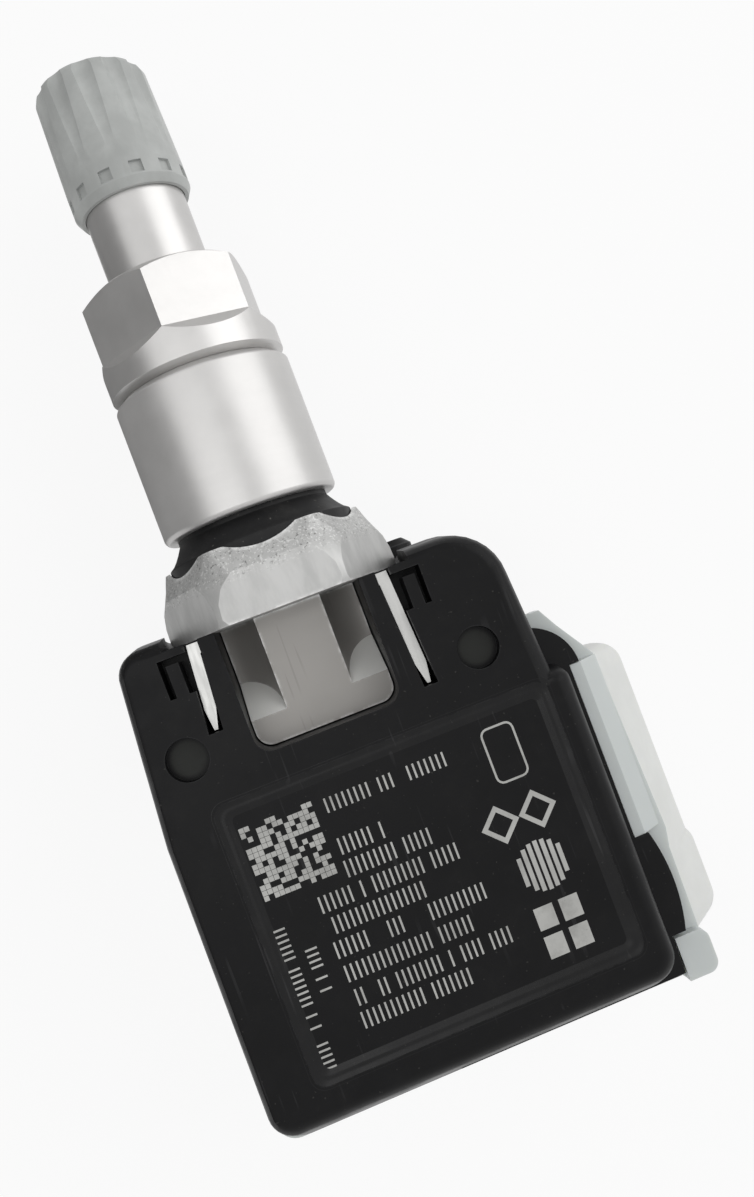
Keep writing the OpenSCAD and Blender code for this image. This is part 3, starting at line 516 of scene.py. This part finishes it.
def plain_metal(name, color, roughness, grain=3000.0):
    """Small metal parts inside: a faint grain only."""
    material, tree, shader = new_finish(name, color, roughness, 1.0)
    field = noise(tree, stretched(tree, object_point(tree), (1.0, 0.1, 1.0)), grain, 3.0, 0.6)
    plug(tree, ramp(tree, field, 0.3, 0.7, roughness - 0.06, roughness + 0.08), shader.inputs["Roughness"])
    add_bump(tree, shader, field, 0.25, 0.004)
    return material


def speckled_board():
    """Solder mask over the weave of a circuit board."""
    material, tree, shader = new_finish("board_green", (0.012, 0.10, 0.04), 0.35)
    strands = 12000.0
    part = split(tree, object_point(tree))
    warp = calc(tree, "SINE", times(tree, part["X"], strands))
    weft = calc(tree, "SINE", times(tree, part["Y"], strands))
    weave = times(tree, warp, weft)
    mask = blend_colors(tree, ramp(tree, weave, -0.4, 0.6), (0.009, 0.08, 0.03), (0.014, 0.115, 0.045))
    plug(tree, mask, shader.inputs["Base Color"])
    add_bump(tree, shader, weave, 0.2, 0.01)
    return material


def wound_wire():
    """The turns of the coil, as ridges across its length."""
    material, tree, shader = new_finish("copper_wire", (0.62, 0.25, 0.11), 0.3, 1.0)
    wire_pitch = 0.12 * MM
    part = split(tree, object_point(tree))
    turns = calc(tree, "SINE", times(tree, part["X"], math.tau / wire_pitch))
    copper = blend_colors(tree, ramp(tree, turns, -0.8, 0.4), (0.22, 0.08, 0.035), (0.66, 0.28, 0.13))
    plug(tree, copper, shader.inputs["Base Color"])
    add_bump(tree, shader, turns, 0.8, 0.05)
    return material


SHELL = moulded_plastic("housing_black", SHELL_BLACK, 0.40, (0.05, 0.05, 0.052), wear=0.5, film=0.03,
                        specks=0.25, scratch=0.25, specular=0.13)
paint_light_in_dimples(SHELL)
RIM = moulded_plastic("rim_black", SHELL_BLACK, 0.30, (0.06, 0.06, 0.062), wear=0.3, film=0.05,
                      specks=0.15, scratch=0.3, depth=0.006, specular=0.22)
CAP = moulded_plastic("cap_plastic", CAP_GREY, 0.38, (0.47, 0.485, 0.485), wear=0.7, film=0.05,
                      specks=0.05, scratch=0.2, fineness=6000.0, depth=0.008)
GROMMET = moulded_plastic("grommet_rubber", RUBBER_BLACK, 0.50, (0.03, 0.03, 0.03), wear=0.3, film=0.16,
                          specks=1.0, scratch=0.1, fineness=4500.0, depth=0.02, specular=0.25)
SEAL = moulded_plastic("seal_rubber", RUBBER_BLACK, 0.55, (0.03, 0.03, 0.03), film=0.05, specks=0.1)
GASKET = moulded_plastic("gasket_red", (0.30, 0.03, 0.02), 0.5, (0.4, 0.06, 0.04))
GEL = moulded_plastic("gel_seal", (0.45, 0.10, 0.03), 0.35, (0.5, 0.15, 0.06))
CHIP = moulded_plastic("chip_black", (0.02, 0.02, 0.02), 0.5, (0.05, 0.05, 0.05))
CERAMIC = moulded_plastic("capacitor_tan", (0.38, 0.22, 0.11), 0.4, (0.5, 0.35, 0.2))
FERRITE = moulded_plastic("ferrite", (0.03, 0.03, 0.032), 0.6, (0.08, 0.08, 0.08))
MARK = moulded_plastic("etched_mark", MARK_GREY, 0.55, (0.5, 0.5, 0.48), film=0.4, specks=0.2,
                       scratch=0.2, fineness=12000.0)
NUT = turned_metal("nut_metal", METAL_SILVER, 0.36, density=7000.0, depth=0.0015)
COLLAR = turned_metal("collar_metal", METAL_SILVER, 0.36, density=6000.0, depth=0.0008, metallic=0.6)
STEM = stem_metal()
COVER = milky_plastic()
CLIP = plain_metal("clip_steel", (0.43, 0.43, 0.42), 0.33)
BRASS = plain_metal("brass", (0.68, 0.48, 0.20), 0.3)
STEEL = plain_metal("pin_steel", (0.62, 0.62, 0.62), 0.3)
SPRING = plain_metal("spring_steel", (0.55, 0.56, 0.58), 0.25)
CELL = plain_metal("cell_steel", (0.74, 0.73, 0.70), 0.32, 1500.0)
TAB = plain_metal("tab_nickel", (0.72, 0.70, 0.66), 0.35)
CAN = plain_metal("crystal_can", (0.76, 0.76, 0.74), 0.25)
ANTENNA = plain_metal("antenna_wire", (0.74, 0.58, 0.30), 0.3)
BOARD = speckled_board()
WINDING = wound_wire()


# Geometry node trees for what repeats or follows a curve


def new_shape_tree(name, inputs):
    """A geometry node tree with named inputs, each given as its label, socket type and value."""
    tree = bpy.data.node_groups.new(name, "GeometryNodeTree")
    for label, kind, value in inputs:
        socket = tree.interface.new_socket(name=label, in_out="INPUT", socket_type=kind)
        if value is not None:
            socket.default_value = value
    tree.interface.new_socket(name="Shape", in_out="OUTPUT", socket_type="NodeSocketGeometry")
    source = tree.nodes.new("NodeGroupInput")
    target = tree.nodes.new("NodeGroupOutput")
    return tree, source.outputs, target.inputs


def add_node(tree, kind, values=None, **settings):
    node = tree.nodes.new(kind)
    for label, value in settings.items():
        setattr(node, label, value)
    for label, value in (values or {}).items():
        plug(tree, value, node.inputs[label])
    return node


def end_tree(tree, shape, result, material):
    """Ends a tree in Realize Instances and Set Material."""
    real = add_node(tree, "GeometryNodeRealizeInstances", {"Geometry": shape})
    painted = add_node(tree, "GeometryNodeSetMaterial", {"Geometry": real.outputs[0]})
    plug(tree, material, painted.inputs["Material"])
    plug(tree, painted.outputs[0], result["Shape"])


def grow(name, tree, values, place):
    """Evaluates a tree with these input values and leaves its shape as a plain mesh at this place."""
    piece = add_object(name, bpy.data.meshes.new(name))
    modifier = piece.modifiers.new(name, "NODES")
    modifier.node_group = tree
    for socket in tree.interface.items_tree:
        if socket.item_type == "SOCKET" and socket.in_out == "INPUT" and socket.name in values:
            modifier[socket.identifier] = values[socket.name]
    bake_modifiers(piece).transform(place)
    return piece


def scatter_boxes(tree, given, points, size, result):
    """Sets a box of this size on a seeded choice of the points, and ends the tree."""
    chance = add_node(tree, "FunctionNodeRandomValue", {
        "Probability": given["Filled"], "Seed": given["Seed"]}, data_type="BOOLEAN")
    chosen = chance.outputs[3]
    box = add_node(tree, "GeometryNodeMeshCube", {"Size": size})
    placed = add_node(tree, "GeometryNodeInstanceOnPoints", {
        "Points": points, "Instance": box.outputs[0], "Selection": chosen})
    end_tree(tree, placed.outputs[0], result, given["Finish"])


def make_thread_tree():
    """A thread's ridge: a spiral that carries a triangular profile, with its ends run out."""
    tree, given, result = new_shape_tree("thread_ridge", [
        ("Pitch", "NodeSocketFloat", 0.75 * MM),
        ("Length", "NodeSocketFloat", 8.0 * MM),
        ("Root radius", "NodeSocketFloat", 3.5 * MM),
        ("Depth", "NodeSocketFloat", 0.35 * MM),
        ("Finish", "NodeSocketMaterial", None)])
    run_out = 0.06
    turns = calc(tree, "DIVIDE", given["Length"], given["Pitch"])
    spiral = add_node(tree, "GeometryNodeCurveSpiral", {
        "Resolution": 40, "Rotations": turns, "Start Radius": given["Root radius"],
        "End Radius": given["Root radius"], "Height": given["Length"]})
    tooth = add_node(tree, "GeometryNodeCurvePrimitiveCircle", {"Resolution": 3, "Radius": given["Depth"]},
                     mode="RADIUS")
    way = add_node(tree, "GeometryNodeSplineParameter").outputs["Factor"]
    rise = add_node(tree, "ShaderNodeMapRange", {"Value": way, "From Max": run_out})
    fall = add_node(tree, "ShaderNodeMapRange", {"Value": way, "From Min": 1.0, "From Max": 1.0 - run_out})
    thinned = add_node(tree, "GeometryNodeSetCurveRadius", {
        "Curve": spiral.outputs[0], "Radius": calc(tree, "MINIMUM", rise.outputs[0], fall.outputs[0])})
    ridge = add_node(tree, "GeometryNodeCurveToMesh", {
        "Curve": thinned.outputs[0], "Profile Curve": tooth.outputs[0], "Fill Caps": True})
    end_tree(tree, ridge.outputs[0], result, given["Finish"])
    return tree


def make_tick_tree():
    """A row of plain upright ticks with gaps between them."""
    tree, given, result = new_shape_tree("tick_row", [
        ("Length", "NodeSocketFloat", 10.0 * MM),
        ("Pitch", "NodeSocketFloat", 0.5 * MM),
        ("Tick width", "NodeSocketFloat", 0.14 * MM),
        ("Tick height", "NodeSocketFloat", 1.0 * MM),
        ("Thickness", "NodeSocketFloat", 0.02 * MM),
        ("Filled", "NodeSocketFloat", 0.8),
        ("Seed", "NodeSocketInt", 1),
        ("Finish", "NodeSocketMaterial", None)])
    count = calc(tree, "DIVIDE", given["Length"], given["Pitch"])
    step = join_parts(tree, given["Pitch"])
    row = add_node(tree, "GeometryNodeMeshLine", {"Count": count, "Offset": step})
    size = join_parts(tree, given["Tick width"], given["Tick height"], given["Thickness"])
    scatter_boxes(tree, given, row.outputs[0], size, result)
    return tree


def make_mosaic_tree():
    """A square field of small cells, some of them empty."""
    tree, given, result = new_shape_tree("mosaic_block", [
        ("Side", "NodeSocketFloat", 6.0 * MM),
        ("Cells", "NodeSocketInt", 14),
        ("Thickness", "NodeSocketFloat", 0.02 * MM),
        ("Filled", "NodeSocketFloat", 0.55),
        ("Seed", "NodeSocketInt", 4),
        ("Finish", "NodeSocketMaterial", None)])
    side = given["Side"]
    cells = given["Cells"]
    field = add_node(tree, "GeometryNodeMeshGrid", {
        "Size X": side, "Size Y": side, "Vertices X": cells, "Vertices Y": cells})
    cell = calc(tree, "DIVIDE", side, cells)
    scatter_boxes(tree, given, field.outputs[0], join_parts(tree, cell, cell, given["Thickness"]), result)
    return tree


# Pieces


def slim_thread_zone(shell):
    """Takes the stem's plain end under the cap down to the root of its thread."""
    thread_low = along(CAP_MOUTH_H + 0.5)
    bore_side_r = 3.3 * MM
    for vert in shell.verts:
        radius = math.hypot(vert.co.x, vert.co.z)
        if vert.co.y > thread_low and radius > bore_side_r:
            vert.co.x *= THREAD_ROOT_R * MM / radius
            vert.co.z *= THREAD_ROOT_R * MM / radius


def fill_skirt(shell):
    """Fills the hollow of the grommet's skirt, so that it runs out on the rim of the hex base."""
    waist_r = 6.1
    skirt_width = 1.4
    waist_share = 0.02
    skirt_low = along(5.6)
    rim_h = 5.56
    waist_rise = 1.64
    fall_power = 1.5
    for vert in shell.verts:
        reach = (math.hypot(vert.co.x, vert.co.z) / MM - waist_r) / skirt_width
        if waist_share < reach <= 1.0 and vert.co.y > skirt_low:
            vert.co.y = along(rim_h + waist_rise * (1.0 - reach) ** fall_power)


def draw_in_ledge(shell):
    """Draws the upper edge of the housing's weld ledge in at the tail, flush with the wall above it."""
    ledge_y = along(-38.0)
    wall_y = along(-37.75)
    ledge_low_z = 1.6 * MM
    for vert in shell.verts:
        if vert.co.y < ledge_y and vert.co.z > ledge_low_z:
            vert.co.y = wall_y


def trim_tail(shell):
    """Squares the cover's raised tail end, and draws its flange in under the housing."""
    pad_x = 18.9 * MM
    pad_edge_x = (19.0 * MM, 20.15 * MM)
    squared_x = 19.15 * MM
    pad_low_y = along(-35.0)
    flange_y = along(-38.4)
    drawn_in_y = along(-38.3)
    top_z = 0.9 * MM
    whole = [*shell.verts, *shell.edges, *shell.faces]
    bmesh.ops.bisect_plane(shell, geom=whole, dist=1e-7, plane_co=(pad_x, 0, 0), plane_no=(1, 0, 0))
    for vert in shell.verts:
        if vert.co.x < pad_x + 1e-6 and vert.co.y < flange_y and vert.co.z > top_z:
            vert.co.y = drawn_in_y
    bmesh.ops.remove_doubles(shell, verts=shell.verts, dist=MERGE_REACH * MM)
    bmesh.ops.dissolve_degenerate(shell, dist=MERGE_REACH * MM, edges=shell.edges)
    for vert in shell.verts:
        if vert.co.z > top_z and vert.co.y < pad_low_y and pad_edge_x[0] < vert.co.x < pad_edge_x[1]:
            vert.co.x = squared_x


def finish_shells():
    """The nodes that show get rounded edges and their finish."""
    soften("valve_cap", "cap", CAP, 0.12, angle=24)
    soften("valve_stem", "sensor", STEM, 0.12, reshape=slim_thread_zone)
    soften("hex_nut", "nut", NUT, 0.12, angle=24)
    soften("collar_sleeve", "collar", COLLAR, 0.12, angle=24)
    soften("grommet", "sensor", GROMMET, 0.05, reshape=fill_skirt)
    soften("retaining_clip", "sensor", CLIP, 0.12)
    soften("housing", "sensor", SHELL, 0.18, reshape=draw_in_ledge)
    soften("rear_cover", "sensor", COVER, 0.2, reshape=trim_tail)


def finish_inner_nodes():
    finishes = {
        "cap_seal": SEAL, "core_barrel": BRASS, "core_gasket": GASKET, "core_pin": STEEL,
        "core_cup_seal": SEAL, "core_spring": SPRING, "circuit_board": BOARD, "button_cell": CELL,
        "cell_tab_top": TAB, "cell_tab_bottom": TAB, "sensor_chip": CHIP, "port_seal": GEL,
        "lf_coil_core": FERRITE, "lf_coil_winding": WINDING, "crystal": CAN, "capacitors": CERAMIC,
        "antenna_loop": ANTENNA,
    }
    for node, material in finishes.items():
        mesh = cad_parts[node].data
        mesh.materials.clear()
        mesh.materials.append(material)


def join_pieces(name, pieces):
    """Joins several plain meshes, each with the same finish, into one piece."""
    joined = bmesh.new()
    for piece in pieces:
        joined.from_mesh(piece.data)
    mesh = mesh_from(joined, name)
    for piece in pieces:
        bpy.data.objects.remove(piece)
    return add_object(name, mesh)


def add_cap_thread():
    """The stem's thread under the cap, which shows when the cap is unscrewed."""
    start_gap = 1.0
    both_gaps = 1.9
    upright = Matrix.Rotation(math.radians(-90), 4, "X")
    place = Matrix.Translation((0, along(CAP_MOUTH_H + start_gap), 0)) @ upright
    thread = grow("cap_thread", make_thread_tree(), {
        "Pitch": 0.794 * MM, "Length": (STEM_TOP_H - CAP_MOUTH_H - both_gaps) * MM,
        "Root radius": THREAD_ROOT_R * MM, "Depth": 0.36 * MM, "Finish": STEM}, place)
    dress(thread, "sensor", STEM)
    shade_smooth(thread.data, 50)


def rounded_rectangle(low, high, radius, steps=8):
    """The points of a rectangle with rounded corners, counter-clockwise."""
    corners = ((high[0], high[1]), (low[0], high[1]), (low[0], low[1]), (high[0], low[1]))
    points = []
    for number, (x, y) in enumerate(corners):
        centre_x = x - radius if number in (0, 3) else x + radius
        centre_y = y - radius if number in (0, 1) else y + radius
        for step in range(steps + 1):
            turn = math.radians(90 * number + 90 * step / steps)
            points.append((centre_x + radius * math.cos(turn), centre_y + radius * math.sin(turn)))
    return points


def add_label_edge():
    """The recess of the marked field falls off in two soft steps."""
    least_corner = 0.25
    corner_share = 0.5
    steps = ((-0.34, 0.240), (-0.22, 0.251), (-0.08, 0.244), (0.06, 0.212), (0.20, 0.165), (0.34, 0.132),
             (0.46, 0.126), (0.58, 0.130), (0.70, 0.112), (0.84, 0.066), (0.98, 0.020), (1.12, -0.004))
    shell = bmesh.new()
    rings = []
    for inset, rise in steps:
        low = (LABEL_LOW[0] + inset, LABEL_LOW[1] + inset)
        high = (LABEL_HIGH[0] - inset, LABEL_HIGH[1] - inset)
        corner = max(least_corner, LABEL_CORNER - corner_share * inset)
        outline = rounded_rectangle(low, high, corner)
        rings.append([shell.verts.new(Vector((x, y, LABEL_Z + rise)) * MM) for x, y in outline])
    count = len(rings[0])
    for outer, inner in zip(rings, rings[1:]):
        for i in range(count):
            shell.faces.new((outer[i], outer[(i + 1) % count], inner[(i + 1) % count], inner[i]))
    edge = add_object("label_edge", mesh_from(shell, "label_edge"))
    shade_smooth(edge.data, 60)
    dress(edge, "sensor", RIM)


def add_plate(shell, outline, hole=None):
    """A very thin plate over an outline in millimetres, with a hole of as many points if one is given."""
    sunk = 0.02
    proud = 0.012
    low = LABEL_Z - sunk
    high = LABEL_Z + proud
    rings = []
    for points in (outline, hole or []):
        rings.append([[shell.verts.new(Vector((x, y, z)) * MM) for x, y in points] for z in (low, high)])
    bottom, top = rings[0]
    in_bottom, in_top = rings[1]
    count = len(outline)
    for i in range(count):
        j = (i + 1) % count
        shell.faces.new((bottom[i], bottom[j], top[j], top[i]))
        if hole:
            shell.faces.new((in_bottom[j], in_bottom[i], in_top[i], in_top[j]))
            shell.faces.new((top[i], top[j], in_top[j], in_top[i]))
            shell.faces.new((bottom[j], bottom[i], in_bottom[i], in_bottom[j]))
    if not hole:
        shell.faces.new(top)
        shell.faces.new(list(reversed(bottom)))


def diamond(centre, radius):
    turns = [math.tau * corner / 4 for corner in range(4)]
    return [(centre[0] + radius * math.cos(turn), centre[1] + radius * math.sin(turn)) for turn in turns]


def box_outline(low, high):
    return [(low[0], low[1]), (high[0], low[1]), (high[0], high[1]), (low[0], high[1])]


def add_plain_shapes():
    """Plain figures on the right of the field: a frame, two diamonds, a barred disc and four squares."""
    corner = 0.6
    line = 0.16
    outside = rounded_rectangle((9.9, -24.2), (12.5, -19.9), corner, 4)
    inside = rounded_rectangle((9.9 + line, -24.2 + line), (12.5 - line, -19.9 - line), corner - line, 4)
    shell = bmesh.new()
    add_plate(shell, outside, inside)
    for centre in ((9.0, -26.9), (12.0, -26.8)):
        add_plate(shell, diamond(centre, 1.5), diamond(centre, 1.0))
    disc_r = 1.9
    disc_at = (10.9, -30.8)
    bar_pitch = 0.52
    bar_half = 0.17
    for step in range(-3, 4):
        offset = bar_pitch * step
        reach = math.sqrt(disc_r ** 2 - offset ** 2)
        add_plate(shell, box_outline((disc_at[0] + offset - bar_half, disc_at[1] - reach),
                                     (disc_at[0] + offset + bar_half, disc_at[1] + reach)))
    square = (1.5, 1.7)
    for x in (9.0, 11.0):
        for y in (-37.5, -35.3):
            add_plate(shell, box_outline((x, y), (x + square[0], y + square[1])))
    figures = add_object("plain_figures", mesh_from(shell, "plain_figures"))
    dress(figures, "sensor", MARK)


def grow_ticks(tree, place, length, height, pitch, seed):
    """One row of ticks. Its sizes are in millimetres."""
    return grow("tick_row", tree, {
        "Length": length * MM, "Pitch": pitch * MM, "Tick width": 0.15 * MM, "Tick height": height * MM,
        "Filled": 0.82, "Seed": seed, "Finish": MARK}, place)


def add_tick_rows():
    """Rows and columns of plain ticks on the marked field, and a mosaic of cells."""
    ticks = make_tick_tree()
    rows = [(-2.4, 7.7, -21.4, 1.10), (-2.5, 1.95, -24.6, 1.25), (-2.65, 4.6, -26.3, 1.25),
            (-5.3, 5.85, -28.05, 1.25), (-5.35, 2.8, -29.75, 1.25), (-5.4, 6.8, -31.5, 1.25),
            (-5.3, 5.25, -33.35, 1.25), (-5.2, 7.95, -35.2, 1.25), (-5.35, 3.95, -36.9, 1.25)]
    columns = [(-8.8, -38.5, -27.2, 1.0), (-7.1, -33.6, -29.5, 0.9)]
    upright = Matrix.Rotation(math.radians(90), 4, "Z")
    pieces = []
    for number, (start, end, base, height) in enumerate(rows):
        place = Matrix.Translation(Vector((start, base + height / 2, LABEL_Z)) * MM)
        pieces.append(grow_ticks(ticks, place, end - start, height, 0.46, 11 + number))
    for number, (middle, low, high, height) in enumerate(columns):
        place = Matrix.Translation(Vector((middle, low, LABEL_Z)) * MM) @ upright
        pieces.append(grow_ticks(ticks, place, high - low, height, 0.44, 31 + number))
    dress(join_pieces("tick_rows", pieces), "sensor", MARK)
    place = Matrix.Translation(Vector((-6.15, -22.9, LABEL_Z)) * MM)
    mosaic = grow("mosaic_block", make_mosaic_tree(), {
        "Side": 5.2 * MM, "Cells": 14, "Filled": 0.62, "Seed": 4, "Finish": MARK}, place)
    dress(mosaic, "sensor", MARK)


def build_pieces():
    finish_shells()
    finish_inner_nodes()
    add_cap_thread()
    add_label_edge()
    add_plain_shapes()
    add_tick_rows()


# Camera, floor and light


def add_camera():
    data = bpy.data.cameras.new("photo_camera")
    data.lens = CAMERA_LENS
    data.sensor_width = CAMERA_SENSOR
    data.clip_start = 0.002
    data.clip_end = 10
    camera = add_object("photo_camera", data)
    look = Vector(CAMERA_LOOK).normalized()
    right = look.cross(Vector(CAMERA_UP)).normalized()
    up = right.cross(look)
    turn = Matrix((right, up, -look)).transposed().to_4x4()
    camera.matrix_world = Matrix.Translation(Vector(CAMERA_PLACE) * MM) @ turn
    bpy.context.scene.camera = camera


def seen_as_background(tree):
    """One for rays that see the background, straight, mirrored or through glass, and zero for others."""
    path = tree.nodes.new("ShaderNodeLightPath")
    mirrored = calc(tree, "MAXIMUM", path.outputs["Is Camera Ray"], path.outputs["Is Glossy Ray"])
    return calc(tree, "MAXIMUM", mirrored, path.outputs["Is Transmission Ray"])


def add_floor():
    """A pale floor that looks white to the camera and keeps a faint shadow."""
    reach = 1.5
    white_share = 0.88
    corners = [(x, y, REST_Z * MM) for x, y in box_outline((-reach, -reach), (reach, reach))]
    mesh = bpy.data.meshes.new("floor")
    mesh.from_pydata(corners, [], [(0, 1, 2, 3)])
    floor = add_object("floor", mesh)
    material = bpy.data.materials.new("floor_pale")
    material.use_nodes = True
    tree = material.node_tree
    tree.nodes.clear()
    lit = tree.nodes.new("ShaderNodeBsdfDiffuse")
    lit.inputs["Color"].default_value = (0.86, 0.86, 0.86, 1.0)
    glow = tree.nodes.new("ShaderNodeEmission")
    glow.inputs["Color"].default_value = (1.0, 1.0, 1.0, 1.0)
    glow.inputs["Strength"].default_value = 1.0
    share = times(tree, seen_as_background(tree), white_share)
    mix = tree.nodes.new("ShaderNodeMixShader")
    plug(tree, share, mix.inputs[0])
    plug(tree, lit.outputs[0], mix.inputs[1])
    plug(tree, glow.outputs[0], mix.inputs[2])
    output = tree.nodes.new("ShaderNodeOutputMaterial")
    plug(tree, mix.outputs[0], output.inputs["Surface"])
    mesh.materials.append(material)


def add_lamp(name, place, target, size, power):
    """A soft white lamp. Places and sizes are in millimetres, and power is in watts."""
    data = bpy.data.lights.new(name, "AREA")
    data.shape = "RECTANGLE"
    data.size = size[0] * MM
    data.size_y = size[1] * MM
    data.energy = power
    lamp = add_object(name, data)
    lamp.location = Vector(place) * MM
    aim = (Vector(target) - Vector(place)) * MM
    lamp.rotation_euler = aim.to_track_quat("-Z", "Y").to_euler()


def add_card():
    """A far and a low grey card on the left, unseen by the camera, that give the metal its darker side."""
    far_x = -190
    near_x = -9
    reach_y = 200
    top_z = 150
    low_z = REST_Z + 0.1
    corners = [(far_x, -reach_y, low_z), (far_x, reach_y, low_z), (far_x, reach_y, top_z),
               (far_x, -reach_y, top_z), (near_x, 0, low_z), (near_x, reach_y, low_z), (far_x, 0, low_z)]
    far_card = (0, 1, 2, 3)
    low_card = (4, 5, 1, 6)
    mesh = bpy.data.meshes.new("grey_card")
    mesh.from_pydata([Vector(corner) * MM for corner in corners], [], [far_card, low_card])
    card = add_object("grey_card", mesh)
    card.visible_camera = False
    card.visible_shadow = False
    card.visible_diffuse = False
    material, _, _ = new_finish("card_grey", (0.30, 0.30, 0.30), 0.9)
    mesh.materials.append(material)


def add_light():
    middle = (2, -4, 0)
    add_lamp("window_right", (275, 70, 185), middle, (340, 340), 0.495)
    add_lamp("sky_panel", (-118, 0, 310), middle, (150, 300), 0.19)
    world = bpy.data.worlds.new("studio")
    bpy.context.scene.world = world
    world.use_nodes = True
    tree = world.node_tree
    backdrop = tree.nodes["Background"]
    lit_strength = 0.5
    strength = calc(tree, "MAXIMUM", seen_as_background(tree), lit_strength)
    plug(tree, strength, backdrop.inputs["Strength"])
    backdrop.inputs["Color"].default_value = (1.0, 1.0, 1.0, 1.0)
    bpy.context.scene.view_settings.view_transform = "Standard"


add_camera()
add_floor()
add_card()
add_light()
build_pieces()
